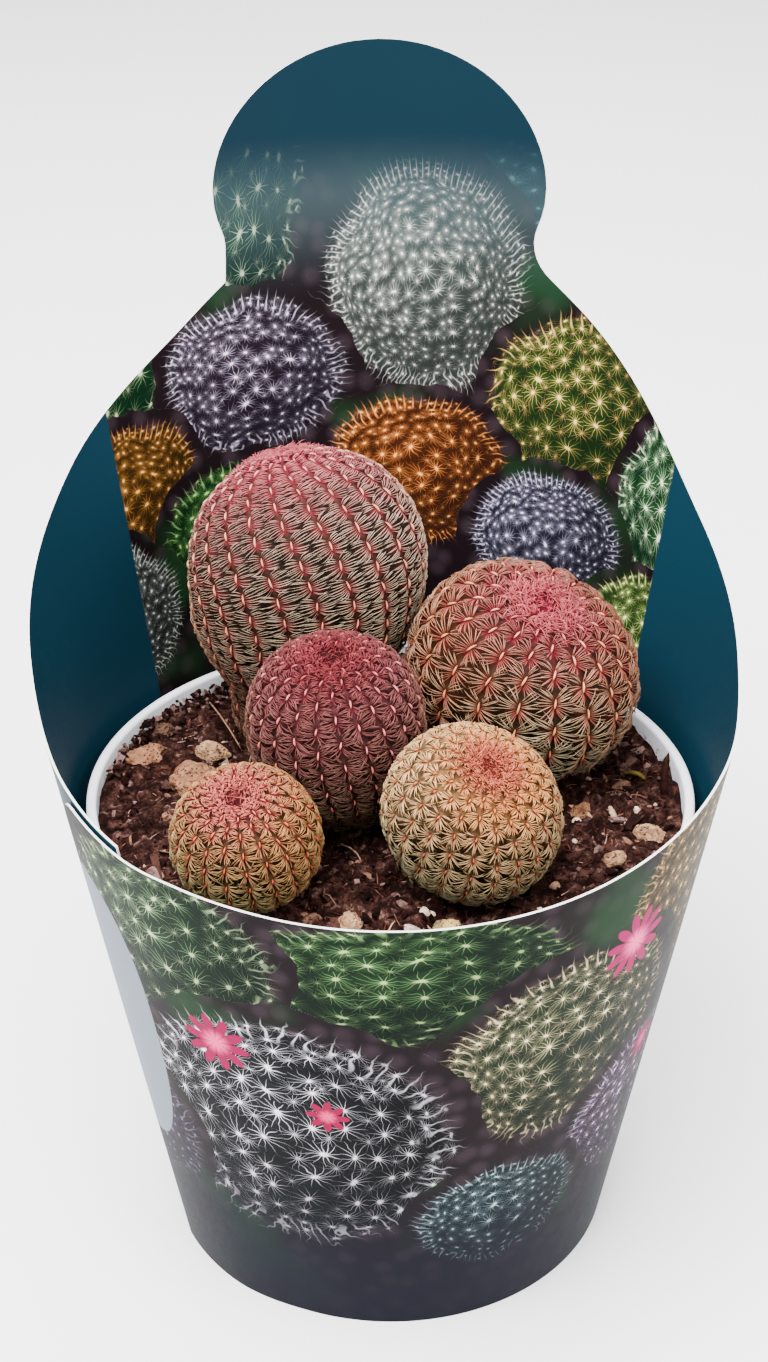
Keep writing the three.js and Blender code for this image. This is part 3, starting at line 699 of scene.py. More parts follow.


# Cactus heads: ribbed globes that narrow to a neck in the peat. Each has rows of long narrow areoles on
# its ribs, and every areole a comb of fine spines pressed to the skin on both sides, rose at the crown.

# Shape of a head: centre; lean of its axis and where it leans to; largest radius, half-heights above and
# below it, radius of the neck; ribs, step from areole to areole, depth of the ribs and their twist in
# degrees a mm. The crown, where the ribs meet, has grown off the axis by so many degrees, towards crown_to.
# Spines: length, pairs in a comb, half-angle of the fan, relax the share of it left at the tips, turn of
# the fan towards the crown, ruffle their unevenness, stand how far they lift off the skin, thick their
# radius, red the share that is red from the root, blush the extra red at a comb's lower end: partly the
# spines' own red and partly painted shade, as the lower spines of a comb lie in shadow.
# Areoles: pad half the length that spines grow from, dash half the wool's, swell the height of the mound
# below. Young is the share of the radius, round the crown, that young spines cover.
HEADS = {
    "cactus_large": dict(
        slot="cactus_pink", centre=(-16.6, 28.4, 133.2), lean=8.4, lean_to=90, radius=22.8, upper=23.6,
        lower=27, neck=12.6, ribs=21, areole=4.3, depth=1.7, twist=-0.6, crown=27, crown_to=-124,
        spine=4.3, pair=10, fan=46, relax=-0.2, turn=0, ruffle=1.0, stand=0, thick=0.088, red=0.46,
        blush=0.1, pad=1.45, dash=1.2, swell=0.25, young=0.2,
    ),
    "cactus_right": dict(
        slot="cactus_red", centre=(26.3, 12.2, 118.2), lean=28.4, lean_to=59.7, radius=21.6, upper=17.5,
        lower=18.6, neck=9.6, ribs=18, areole=5.2, depth=1.9, twist=-0.3, crown=12, crown_to=-92,
        spine=5.0, pair=16, fan=72, relax=0.7, turn=-4, ruffle=1.9, stand=0.15, thick=0.095, red=0.34,
        blush=0.6, pad=1.2, dash=1.3, swell=0.5, young=0.32,
    ),
    "cactus_middle": dict(
        slot="cactus_purple", centre=(-10.4, -10, 119.1), lean=11.3, lean_to=-14.7, radius=15.7, upper=16.6,
        lower=20, neck=7.4, ribs=22, areole=4.7, depth=1.3, twist=-0.45, crown=0, crown_to=0,
        spine=3.6, pair=16, fan=66, relax=0.3, turn=-6, ruffle=5.0, stand=0.12, thick=0.095, red=0.35,
        blush=0.2, pad=1.4, dash=0.95, swell=0.5, young=0.26,
    ),
    "cactus_small": dict(
        slot="cactus_tan", centre=(-26.5, -34.1, 108.7), lean=29, lean_to=-11.9, radius=12.4, upper=12,
        lower=11, neck=7.2, ribs=20, areole=3.5, depth=1.1, twist=0, crown=12, crown_to=-176,
        spine=2.9, pair=13, fan=60, relax=0.9, turn=-24, ruffle=3.2, stand=0.1, thick=0.095, red=0.26,
        blush=0.5, pad=0.9, dash=0.75, swell=1.25, young=0.3,
    ),
    "cactus_front": dict(
        slot="cactus_cream", centre=(14.9, -29.7, 111.4), lean=40.9, lean_to=41.3, radius=15.6, upper=12.4,
        lower=11.5, neck=8.2, ribs=22, areole=3.6, depth=1.3, twist=-0.8, crown=20, crown_to=-144,
        spine=3.1, pair=13, fan=58, relax=0.9, turn=-36, ruffle=3.2, stand=0.1, thick=0.1, red=0.22,
        blush=0.4, pad=0.8, dash=0.55, swell=1.15, young=0.24,
    ),
}
UPRIGHT = np.array([0, 0, 1])
HEAD_SEED = 300
DOME_POWER = 2.15
NECK_BLEND = 4
BEND_START = 0.35
BEND_LENGTH = 15
STEM_DEPTH = 10
RIB_FADE = 6
CROWN_FADE = 0.35
CROWN_TILT_LOW = 0.9
CROWN_TILT_HIGH = 0.7
STEM_LOWEST = 60
DIMPLE_DEPTH = 1.6
DIMPLE_RADIUS = 2.6
SKIN_PER_RIB = 8
SKIN_PER_AREOLE = 5
STEM_RINGS = [0, 0.6, 4]
STEM_END_ROUND = 1.2
LOWEST_AREOLE = 1
SKIN_BELOW_PEAT = 2
HEADS_APART = 0.9
VALLEY_SHADE = 0.45
SKIN_BLUSH = (0.04, 0.86)
COMB_JITTER = 0.14
END_SPINES_SHORTER = 0.28
CROWN_SPINES_SHORTER = 0.2
SPINE_LIFT = 0.34
SPINE_DROOP = 0.5
SPINE_ROOT_ASIDE = 0.2
SPINE_ROOT_SUNK = 0.1
WOOL_WIDTH = 0.038
WOOL_HEIGHT = 0.24
WOOL_LIFT = 0.26
YOUNG_COUNT = (60, 900)

# Colours from the crown, at 0, down to the peat, at 1: spine roots, spine tips, wool of the areoles, skin
ROOT, TIP, WOOL, SKIN = 1, 2, 3, 4
HEAD_TONES = {
    "cactus_large": [
        (0.00, (176, 58, 80), (228, 148, 160), (240, 168, 174), (110, 34, 46)),
        (0.14, (186, 80, 96), (236, 170, 176), (255, 206, 202), (112, 50, 56)),
        (0.26, (178, 84, 94), (222, 180, 174), (255, 212, 196), (78, 54, 48)),
        (0.38, (176, 80, 90), (224, 208, 194), (255, 208, 184), (36, 42, 30)),
        (0.60, (164, 78, 82), (220, 210, 190), (252, 196, 168), (28, 38, 24)),
        (0.80, (138, 82, 76), (190, 170, 150), (224, 162, 136), (46, 46, 36)),
        (1.00, (122, 92, 76), (168, 142, 120), (166, 126, 106), (80, 66, 54)),
    ],
    "cactus_right": [
        (0.00, (174, 44, 80), (226, 126, 148), (240, 160, 168), (116, 30, 48)),
        (0.16, (176, 64, 82), (218, 156, 150), (250, 204, 190), (92, 48, 46)),
        (0.32, (164, 72, 70), (216, 186, 162), (255, 212, 174), (60, 50, 37)),
        (0.50, (156, 76, 68), (218, 208, 182), (255, 194, 146), (48, 50, 33)),
        (0.75, (110, 60, 50), (134, 112, 90), (214, 142, 106), (34, 31, 23)),
        (1.00, (68, 45, 37), (86, 66, 52), (104, 74, 58), (33, 26, 21)),
    ],
    "cactus_middle": [
        (0.00, (104, 26, 36), (156, 62, 72), (140, 48, 58), (74, 16, 24)),
        (0.10, (136, 50, 62), (186, 102, 108), (208, 124, 130), (98, 40, 48)),
        (0.26, (134, 66, 74), (168, 112, 112), (242, 186, 180), (104, 60, 62)),
        (0.50, (120, 68, 70), (162, 124, 112), (244, 184, 172), (80, 56, 50)),
        (0.72, (114, 74, 66), (172, 148, 126), (224, 158, 138), (60, 52, 42)),
        (1.00, (120, 96, 78), (184, 164, 136), (166, 128, 104), (62, 58, 46)),
    ],
    "cactus_small": [
        (0.00, (108, 24, 42), (168, 68, 78), (160, 58, 70), (76, 18, 30)),
        (0.12, (162, 58, 68), (242, 172, 160), (242, 170, 160), (98, 44, 46)),
        (0.28, (156, 84, 70), (220, 182, 144), (240, 158, 134), (84, 66, 45)),
        (0.55, (124, 84, 62), (186, 176, 136), (218, 124, 100), (47, 54, 34)),
        (1.00, (106, 84, 60), (152, 136, 100), (166, 116, 88), (44, 44, 31)),
    ],
    "cactus_front": [
        (0.00, (164, 66, 62), (210, 126, 112), (190, 92, 84), (126, 52, 46)),
        (0.09, (184, 98, 82), (230, 168, 140), (222, 148, 122), (120, 70, 54)),
        (0.20, (194, 132, 92), (244, 198, 146), (238, 184, 140), (148, 110, 76)),
        (0.36, (162, 116, 90), (216, 190, 154), (220, 148, 114), (84, 70, 50)),
        (0.60, (122, 94, 74), (176, 170, 142), (202, 104, 80), (32, 34, 24)),
        (1.00, (112, 92, 68), (166, 150, 114), (168, 112, 86), (42, 38, 27)),
    ],
}
HEAD_SHADE = 0.6

# Where sides of a head are paler or browner than the rest: direction, share and colour of each. The front
# head's pale upper left side is painted light, on the side that the large lamp above the left lights.
HEAD_SIDES = {
    "cactus_large": [((-0.95, -0.1, -0.3), 0.4, (140, 78, 66))],
    "cactus_right": [((-0.9, -0.1, 0.25), 0.4, (200, 112, 80)), ((0.95, 0.1, 0.1), 0.6, (164, 92, 74))],
    "cactus_middle": [((0.6, 0.2, -0.5), 0.2, (150, 96, 74))],
    "cactus_small": [((0.85, -0.3, 0.25), 0.5, (214, 164, 116))],
    # Pale upper left side of the front head: painted light from the large lamp
    "cactus_front": [((-0.55, 0.2, 0.8), 0.75, (255, 222, 186))],
}


def ease(value, low, high):
    share = np.clip((value - low) / (high - low), 0, 1)
    return share * share * (3 - 2 * share)


def head_radius(head, h):
    h = np.asarray(h, float)
    upper = np.clip(h / head["upper"], 0, 1)
    dome = head["radius"] * (1 - upper**DOME_POWER) ** (1 / DOME_POWER)
    belly = head["radius"] * np.sqrt(np.maximum(0, 1 - (h / head["lower"]) ** 2))
    neck = head["neck"] * ease(-h, 0, head["lower"] * 0.5)
    return np.where(h >= 0, dome, (belly**NECK_BLEND + neck**NECK_BLEND) ** (1 / NECK_BLEND))


def level_way(angle):
    return np.array([math.sin(math.radians(angle)), -math.cos(math.radians(angle)), 0])


def centre_line(head, h):
    """Points of a head's centre line at heights h, and its tilt there."""
    h = np.asarray(h, float)
    lean = math.radians(head["lean"])
    bend_at = -head["lower"] * BEND_START
    down = np.maximum(0, bend_at - h)
    tilt = lean * (1 - np.minimum(1, down / BEND_LENGTH))
    arc = BEND_LENGTH / lean
    along = np.maximum(h, bend_at)
    out = along * math.sin(lean) - arc * (np.cos(tilt) - math.cos(lean))
    up = along * math.cos(lean) - arc * (math.sin(lean) - np.sin(tilt)) - np.maximum(0, down - BEND_LENGTH)
    point = np.array(head["centre"]) + out[..., None] * level_way(head["lean_to"]) + up[..., None] * UPRIGHT
    return point, tilt


def head_point(head, r, a, h):
    point, tilt = centre_line(head, h)
    across = np.cos(tilt)[..., None] * level_way(head["lean_to"]) - np.sin(tilt)[..., None] * UPRIGHT
    side = level_way(head["lean_to"] + 90)
    return point + across * (r * np.cos(a))[..., None] + side * (r * np.sin(a))[..., None]


def pattern_place(head, a, h):
    """Angle and height on the skin of a place of the rib pattern, which is tilted towards the crown: not
    at all at the foot, in full near the top."""
    share = ease(h, -head["lower"] * CROWN_TILT_LOW, head["upper"] * CROWN_TILT_HIGH)
    tilt = math.radians(head["crown"]) * share
    towards = math.radians(head["crown_to"] - head["lean_to"])
    r = head_radius(head, h)
    x, y = r * np.cos(a - towards), r * np.sin(a - towards)
    x, z = x * np.cos(tilt) + h * np.sin(tilt), h * np.cos(tilt) - x * np.sin(tilt)
    top = head["upper"] * np.sin(np.linspace(0, 1.5708, 1500))
    fine = np.concatenate([np.arange(-STEM_LOWEST, 0, 0.05), top])
    slopes = np.arctan2(fine, np.maximum(head_radius(head, fine), 1e-9))
    level = np.interp(np.arctan2(z, np.hypot(x, y)), slopes, fine)
    return np.arctan2(y, x) + towards, np.where(tilt == 0, h, level)


def peat_line(head):
    """Height along a head's axis at which it leaves the peat."""
    levels = np.arange(0, -STEM_LOWEST, -0.25)
    return levels[np.argmax(centre_line(head, levels)[0][:, 2] <= PEAT_LEVEL)]


def even_heights(head, low, count):
    """Heights from low to the crown, an equal step apart along the skin."""
    fine = low + (head["upper"] - low) * np.sin(np.linspace(0, 1, 400) * math.pi / 2)
    steps = np.hypot(np.diff(head_radius(head, fine)), np.diff(fine))
    skin = np.concatenate([[0], np.cumsum(steps)])
    return np.interp(np.linspace(0, skin[-1], count), skin, fine), skin[-1]


def rib_rows(head, low, row_count):
    """Heights from low to the crown, and each rib's count of areoles there: they stand an even step
    apart along the rib, and the count is the same for all ribs at the crown, where they are formed."""
    heights, length = even_heights(head, low, 240)
    ribs = np.arange(head["ribs"])[:, None] + 0 * heights
    line = skin_point(head, ribs, 0 * ribs + heights)
    walked = np.cumsum(np.linalg.norm(np.diff(line, axis=1), axis=2), axis=1)
    walked = np.concatenate([np.zeros((head["ribs"], 1)), walked], axis=1)
    return heights, row_count - (walked[:, -1:] - walked) / (length / row_count)


def rib_fade(head, h):
    low = peat_line(head)
    return ease(h, low, low + RIB_FADE) * ease(head["upper"] - h, -0.5, head["upper"] * CROWN_FADE)


def rib_turn(head, n, h):
    return n / head["ribs"] * 2 * math.pi + np.radians(head["twist"] * (h + head["lower"]))


def stagger(head, n):
    """Share of a step by which the areoles of a rib stand higher than those of rib 0."""
    return (np.rint(n) % head["ribs"]) * (head["ribs"] // 2) / head["ribs"] % 1


def skin_point(head, n, h, row=0.5):
    """Point on the skin at rib number n: round crests at whole numbers, narrow valleys between them.
    row counts areoles from the peat, so that the crest swells a little under each."""
    r = head_radius(head, h)
    crest = 2 * np.abs(np.cos(np.pi * n)) ** 0.8 - 1
    room = np.minimum(1, r / 4) * rib_fade(head, h)
    fold = 0.5 * head["depth"] * crest * room
    mound = np.cos(2 * np.pi * (row - stagger(head, n)))
    mound = 0.5 * head["swell"] * mound * (0.5 + 0.5 * crest) * room
    dimple = np.where(h > 0, DIMPLE_DEPTH * np.exp(-((r / DIMPLE_RADIUS) ** 2)), 0)
    a, level = pattern_place(head, rib_turn(head, n, h), h)
    point = head_point(head, head_radius(head, level), a, level)
    out = unit(point - centre_line(head, np.minimum(level, 0))[0])
    return point + out * (fold + mound - dimple)[..., None]


def is_clear(points, own):
    """True for points above the peat and outside every other head."""
    clear = points[:, 2] > PEAT_LEVEL + 0.3
    for name, head in HEADS.items():
        if name == own:
            continue
        levels = np.linspace(peat_line(head), head["upper"], 50)
        line, tilt = centre_line(head, levels)
        axis = np.sin(tilt)[:, None] * level_way(head["lean_to"]) + np.cos(tilt)[:, None] * UPRIGHT
        offset = points[:, None] - line[None]
        rise = np.abs(np.einsum("pli,li->pl", offset, axis))
        nearest = rise.argmin(1)
        away = np.linalg.norm(offset[np.arange(len(points)), nearest], axis=1)
        inside = (away < head_radius(head, levels)[nearest] + HEADS_APART) & (rise.min(1) < 0.8)
        clear &= ~inside
    return clear


def share_down(h, rows):
    """Shares of the way from the crown to the peat at heights h, by the rows of areoles passed."""
    return np.clip(1 - np.interp(h, rows, np.arange(len(rows))) / (len(rows) - 1), 0, 1)


def tones_at(name, share, column):
    """Colour of one column of a head's tones at shares of the way from the crown to the peat."""
    rows = HEAD_TONES[name]
    table = tint_of(*(row[column] for row in rows)) * HEAD_SHADE
    places = [row[0] for row in rows]
    return np.stack([np.interp(share, places, table[:, i]) for i in range(3)], -1)


def fade(first, second, share):
    return first * (1 - share) + second * share


# Blends in the side colours of HEAD_SIDES, among them the painted light on the front head's upper left.
def side_tint(name, colours, outward, share, strength=1.0):
    for way, most, colour in HEAD_SIDES[name]:
        facing = ease(outward @ unit(np.array(way)), 0.15, 0.95) * ease(share, 0.08, 0.3)
        colours = fade(colours, tint_of(colour)[0] * HEAD_SHADE, facing[..., None] * most * strength)
    return colours


spine_pattern = model_strand([(0, 0.33, 1.0), (0.33, 0.68, 0.92), (0.68, 1.0, 0)])

skin_material, shader, where, mottle = tinted_material(
    "cactus_skin", (24, 26, 14), (700, 4, 0.6), (0.56, 0.36), 0.5,
    Roughness=0.7, Subsurface_Weight=0.06, Specular_IOR_Level=0.05)
shader.inputs["Subsurface Radius"].default_value = (0.002, 0.003, 0.001)
feed(shader, Normal=where.speckle(2200, 2).relief(0.0001, 0.6), Roughness=mottle * 0.3 + 0.45)

spine_material, shader, where, _ = tinted_material(
    "cactus_spines", (120, 60, 44), (1500, 2), (0.6, 0.72), 0.35, Roughness=0.55, Specular_IOR_Level=0.1)
feed(shader, Normal=where.speckle(4000, 1).relief(0.00004, 0.4))

for number, (name, head) in enumerate(HEADS.items()):
    draw = np.random.default_rng(HEAD_SEED + number)
    ribs, low = head["ribs"], peat_line(head)
    bottom, first_row = low - STEM_DEPTH, low + LOWEST_AREOLE
    skin_length = even_heights(head, first_row, 2)[1]
    row_count = round(skin_length / head["areole"])
    rows = even_heights(head, first_row, row_count + 1)[0]

    # The skin: a ball whose rings are set to the head's heights and whose columns are folded into ribs
    above = even_heights(head, low - SKIN_BELOW_PEAT, (row_count + 1) * SKIN_PER_AREOLE)[0]
    heights = np.concatenate([bottom + np.array(STEM_RINGS), above])
    rings = {"segments": ribs * SKIN_PER_RIB, "ring_count": len(heights) - 1, "radius": 1}
    body = start_shape(bpy.ops.mesh.primitive_uv_sphere_add, **rings)
    ball = corners_of(body)
    level = np.rint((1 - np.arccos(np.clip(ball[:, 2], -1, 1)) / math.pi) * (len(heights) - 1)).astype(int)
    around = np.arctan2(ball[:, 1], ball[:, 0]) / (2 * math.pi) * ribs
    h = heights[level]
    fine, counted = rib_rows(head, first_row, row_count)
    row = np.empty(len(h))
    nearest = np.rint(around).astype(int) % ribs
    for rib in range(ribs):
        row[nearest == rib] = np.interp(h[nearest == rib], fine, counted[rib])
    placed = skin_point(head, around, h, row)
    foot = head_point(head, np.zeros(1), np.zeros(1), np.array([bottom]))
    placed[level == 0] = foot
    placed[level == 1] -= unit(placed[level == 1] - foot) * STEM_END_ROUND
    set_corners(body, placed * MM)
    share = share_down(h, rows)
    outward = unit(placed - head["centre"])
    crest = np.abs(np.cos(np.pi * around)) ** 2
    blush = crest * (0.5 + 0.5 * np.cos(2 * np.pi * (row - stagger(head, around) + 0.12))) ** 1.5
    skin = tones_at(name, share, SKIN)
    blush = SKIN_BLUSH[0] + SKIN_BLUSH[1] * blush
    skin = skin + (tones_at(name, share, ROOT) * 0.85 - skin) * blush[:, None]
    skin *= (VALLEY_SHADE + (1 - VALLEY_SHADE) * crest)[:, None]
    set_tints(body.data, side_tint(name, skin, outward, share, 0.15))
    finish_piece(body, name + "_body", skin_material, head["slot"], name)

    # The combs: pairs of spines from each areole, fanned along the rib and bent down to the skin
    found = []
    for rib in range(ribs):
        steps = np.arange(math.ceil(counted[rib, 0]), row_count) + stagger(head, rib)
        steps = steps[steps < row_count - 0.6]
        found.append(np.stack([0 * steps + rib, steps, np.interp(steps, counted[rib], fine)]))
    rib_of, row_of, h = np.concatenate(found, axis=1)
    tiny = 0.01
    foot = skin_point(head, rib_of, h, row_of)
    aside = skin_point(head, rib_of + tiny, h, row_of) - skin_point(head, rib_of - tiny, h, row_of)
    along = unit(skin_point(head, rib_of, h + tiny, row_of) - skin_point(head, rib_of, h - tiny, row_of))
    out = unit(np.cross(aside, along))
    across = unit(np.cross(along, out))
    areoles = len(foot)
    share = share_down(h, rows)
    rib_gap = np.einsum("ai,ai->a", aside, across) / (2 * tiny)
    wider = np.clip(rib_gap * ribs / (2 * math.pi * head["radius"]), 0.3, 1.4)
    shade_of = 1 + 0.2 * (draw.random((areoles, 1)) - 0.5)

    pairs = head["pair"]
    which = np.repeat(np.arange(areoles), 2 * pairs)
    count = len(which)
    spread = np.tile(np.linspace(-1, 1, pairs), 2 * areoles) + (draw.random(count) - 0.5) * COMB_JITTER
    side = np.tile(np.repeat([-1.0, 1.0], pairs), areoles)
    sway = draw.normal(0, 3 * head["ruffle"], areoles)[which]
    angle = head["fan"] * spread + head["turn"] + side * sway
    angle = np.radians(angle + 8 * head["ruffle"] * (draw.random(count) - 0.5))
    crown = ease(share[which], head["young"], 0.06)
    length = head["spine"] * (1 - END_SPINES_SHORTER * spread**2) * (0.84 + 0.32 * draw.random(count))
    length *= (1 - CROWN_SPINES_SHORTER * crown) * (0.4 + 0.6 * wider[which])
    length *= (0.9 + 0.2 * draw.random(areoles))[which]
    direction, tip_way = (
        across[which] * (side * np.cos(turned))[:, None] + along[which] * np.sin(turned)[:, None]
        for turned in (angle, angle * head["relax"])
    )
    outs = out[which]
    start = foot[which] + along[which] * (spread * head["pad"] * 0.9)[:, None]
    start += across[which] * (side * SPINE_ROOT_ASIDE)[:, None] - outs * SPINE_ROOT_SUNK
    lift = SPINE_LIFT + head["stand"] + 0.12 * head["swell"] + 0.6 * crown * draw.random(count)
    lift += 0.12 * draw.random(count)
    droop = SPINE_DROOP + 0.12 * head["swell"] - 0.3 * crown
    curl = (draw.random(count) - 0.5) * 0.2 * head["ruffle"]
    sideways = np.cross(outs, direction)

    def spine_path(t):
        bend = sideways * (curl * t * t)[:, None] + outs * (lift * t - droop * t * t)[:, None]
        return start + length[:, None] * (direction * t + (tip_way - direction) * (t * t / 2) + bend)

    clear = is_clear(spine_path(1.0), name) & is_clear(spine_path(0.5), name)
    thick = head["thick"] * (0.8 + 0.4 * draw.random(count)) * (0.75 + 0.25 * np.minimum(wider, 1)[which])
    grown = grow_strands(spine_pattern, spine_path, thick)
    outward = unit(foot - head["centre"])[which]
    tip_tint = side_tint(name, tones_at(name, share[which], TIP), outward, share[which])
    # More red at the comb's lower end (blush): partly the spines' own red, partly painted shade on the lower
    # spines
    reddened = head["red"] + head["blush"] * ease(-spread, -0.2, 1.0) + 0.3 * crown
    blend = ease(spine_pattern[0][None, :, 2] / reddened[:, None], 0.0, 1.0)[..., None]
    tints = fade(tones_at(name, share[which], ROOT)[:, None], tip_tint[:, None], blend)
    tints *= (shade_of[which] * (0.7 + 0.56 * draw.random((count, 1))))[:, None]
    spines = (spine_material, head["slot"])
    lay_copies(name + "_combs", spine_pattern, grown[clear], tints[clear], *spines)

    # The wool: a narrow pale ridge on each areole, where the two rows of spines meet
    corners = grain_pattern[0]
    long = head["dash"] * (0.8 + 0.3 * draw.random(areoles))
    width, height = np.full(areoles, WOOL_WIDTH * head["areole"]), np.full(areoles, WOOL_HEIGHT)
    size = np.stack([width, long, height], -1)
    x, y, z = np.moveaxis(corners * size[:, None], -1, 0)
    slant = np.radians(draw.normal(-6, 8, areoles))[:, None]
    x_way = (x * np.cos(slant) - y * np.sin(slant))[..., None] * across[:, None]
    y_way = (x * np.sin(slant) + y * np.cos(slant))[..., None] * along[:, None]
    ridge = foot[:, None] + x_way + y_way
    ridge += (z + WOOL_LIFT - 0.3 * (y / head["dash"]) ** 2)[..., None] * out[:, None]
    wool = tones_at(name, share, WOOL)[:, None] * (0.85 + 0.3 * draw.random((areoles, 1, 1)))
    ends = (ease(-corners[:, 1], 0.2, 0.9) * 0.9 + ease(corners[:, 1], 0.4, 1.0) * 0.6)[None, :, None]
    wool = fade(wool, tones_at(name, share, ROOT)[:, None], ends)
    apart = is_clear(foot, name)
    lay_copies(name + "_wool", grain_pattern, ridge[apart], wool[apart], *spines)

    # The crown: young spines that part round the growing point and still stand up
    young = int(YOUNG_COUNT[1] * (head["young"] * head["radius"] / 10) ** 2) + YOUNG_COUNT[0]
    ring = 0.1 + head["radius"] * head["young"] * draw.random(young) ** 0.6
    turns = draw.random(young) * 2 * math.pi
    levels = np.linspace(0, head["upper"], 300)
    h_young = np.interp(-ring, -head_radius(head, levels), levels)
    start = skin_point(head, turns / (2 * math.pi) * ribs, h_young)
    axis = unit(skin_point(head, np.zeros(1), np.array([head["upper"]])) - head["centre"])
    offset = start - head["centre"]
    radial = unit(offset - axis * (offset @ axis[0])[:, None])
    round_way = np.cross(axis, radial)
    lying = round_way * draw.normal(0, 0.7, (young, 1)) + radial * draw.normal(0.2, 0.6, (young, 1))
    outs = unit(axis + radial * (ring / head["radius"])[:, None] * 0.9)
    start -= outs * SPINE_ROOT_SUNK
    length = head["spine"] * (0.55 + 0.35 * draw.random(young)) * ease(ring, -2.5, 0.25 * head["radius"])

    def young_path(t):
        return start + length[:, None] * (lying * t + outs * (0.85 * t - 0.55 * t * t))

    blend = ease(spine_pattern[0][:, 2], 0.0, 0.6)[None, :, None]
    grown = grow_strands(spine_pattern, young_path, head["thick"] * (0.7 + 0.4 * draw.random(young)))
    share = ring / (skin_length * 0.95)
    tints = fade(tones_at(name, share, ROOT)[:, None], tones_at(name, share, TIP)[:, None], blend)
    tints = tints * (0.7 + 0.6 * draw.random((young, 1, 1)))
    lay_copies(name + "_tuft", spine_pattern, grown, tints, *spines)


# Card sleeve: one strip of printed board rolled into a cone and glued in a lap at the left. Its edge is
# low at the front, rises to a wing on each side and runs at the back into a rounded header.
CARD_BASE_RADIUS = 45.9
CARD_FLARE = 0.178
CARD_BOARD = 0.45
SEAM_OUTER_END = -65
SEAM_INNER_END = -48
SEAM_OFFSET = 0.9
SEAM_BLEND_END = -20
SEAM_STEP_DOWN = 1.2
SEAM_CORNER = 6
SEAM_CORNER_STEPS = [0, 0.15, 0.5, 1.1, 2, 3.2, 4.5]
SEAM_TOP = 115
SEAM_RADIUS = 66
WING_SKEW = 5
WING_STARTS = (66, 94)
WING_ENDS = (118, 148)
HEADER_TURN = -1.3
HEADER_HALF_WIDTH = 34.4
HEADER_NECK_HALF_WIDTH = 32.1
HEADER_FOOT_HALF_WIDTH = 34.1
HEADER_SHOULDER_Z = 178.7
HEADER_NECK_Z = 186
HEADER_WIDEST_Z = 197
HEADER_TOP_Z = 224.8
HEADER_BEND = 3

# Angle from the front and height of the sleeve's edge
EDGE_KNOTS = np.array([
    [0, 110.2], [35, 112], [60, 116], [80, 121.5], [100, 134.5], [120, 148.5], [140, 166], [154, 178.7],
])
COLUMN_STEP = 1.6
LOWER_ROWS = 10
HEADER_COLUMNS = 36
HEADER_BENDS = 6
HEADER_ARC = 22
LAP_TO_EDGE = 14
CONE_SLOPE = math.hypot(1, CARD_FLARE)


def cone_radius(z):
    return CARD_BASE_RADIUS + CARD_FLARE * z


def card_radius(angle, z):
    lap = 1 - ease(angle, SEAM_INNER_END + 4, SEAM_BLEND_END)
    return cone_radius(z) + SEAM_OFFSET * lap


def edge_height(angle):
    """Height of the sleeve's edge: a smooth curve through its knots, the left wing a little higher."""
    turn = np.abs(np.where(angle > 180, angle - 360, angle))
    side = np.where(angle > 180, -1, np.sign(angle))
    knots, levels = EDGE_KNOTS.T
    slopes = np.gradient(levels, knots)
    slopes[0] = 0
    i = np.clip(np.searchsorted(knots, turn) - 1, 0, len(knots) - 2)
    span = knots[i + 1] - knots[i]
    t = np.clip((turn - knots[i]) / span, 0, 1)
    curve = (2 * t**3 - 3 * t**2 + 1) * levels[i] + (t**3 - 2 * t**2 + t) * span * slopes[i]
    curve += (3 * t**2 - 2 * t**3) * levels[i + 1] + (t**3 - t**2) * span * slopes[i + 1]
    return curve - side * WING_SKEW * ease(turn, *WING_STARTS) * (1 - ease(turn, *WING_ENDS))


def lap_top(angle):
    """The edge at the outer layer's end: a little lower, with a rounded corner."""
    lowered = 1 - ease(angle, SEAM_INNER_END, SEAM_INNER_END + LAP_TO_EDGE)
    along = np.radians(angle - SEAM_OUTER_END) * cone_radius(SEAM_TOP)
    inside = np.clip(1 - along / SEAM_CORNER, 0, 1)
    return edge_height(angle) - SEAM_STEP_DOWN * lowered - SEAM_CORNER * (1 - np.sqrt(1 - inside**2))


def lay_grid(columns, rows, place):
    """A grid of card. place(column, row) gives the angle and height of its corners, and both are kept
    on them for the print."""
    settings = {"x_subdivisions": columns, "y_subdivisions": rows, "size": 2}
    grid = start_shape(bpy.ops.mesh.primitive_grid_add, **settings)
    column, row, _ = ((corners_of(grid) + 1) / 2 * (columns, rows, 1)).T
    angle, z = place(np.rint(column).astype(int), np.rint(row).astype(int))
    set_corners(grid, np.column_stack([ring_points(card_radius(angle, z), np.radians(angle)), z]) * MM)
    for name, values in (("turn", angle), ("rise", z)):
        layer = grid.data.attributes.new(name, "FLOAT", "POINT")
        layer.data.foreach_set("value", values.astype(np.float32))
    return grid


def even_angles(low, high):
    return np.linspace(low, high, round((high - low) / COLUMN_STEP))


foot_x = np.linspace(HEADER_FOOT_HALF_WIDTH, -HEADER_FOOT_HALF_WIDTH, HEADER_COLUMNS + 1)
foot_angles = 180 - np.degrees(np.arcsin(foot_x / cone_radius(HEADER_SHOULDER_Z)))
corner_angles = SEAM_OUTER_END + np.degrees(np.array(SEAM_CORNER_STEPS) / SEAM_RADIUS)
first_side = even_angles(SEAM_OUTER_END + 5, foot_angles[0])
last_side = even_angles(foot_angles[-1], 360 + SEAM_INNER_END)
strip_angles = np.concatenate([corner_angles, first_side, foot_angles[1:-1], last_side])
in_lap = strip_angles < SEAM_INNER_END + LAP_TO_EDGE
strip_tops = np.where(in_lap, lap_top(strip_angles), edge_height(strip_angles))
in_header = (strip_angles > foot_angles[0] - 0.01) & (strip_angles < foot_angles[-1] + 0.01)
strip_tops = np.where(in_header, HEADER_SHOULDER_Z, np.minimum(strip_tops, HEADER_SHOULDER_Z))

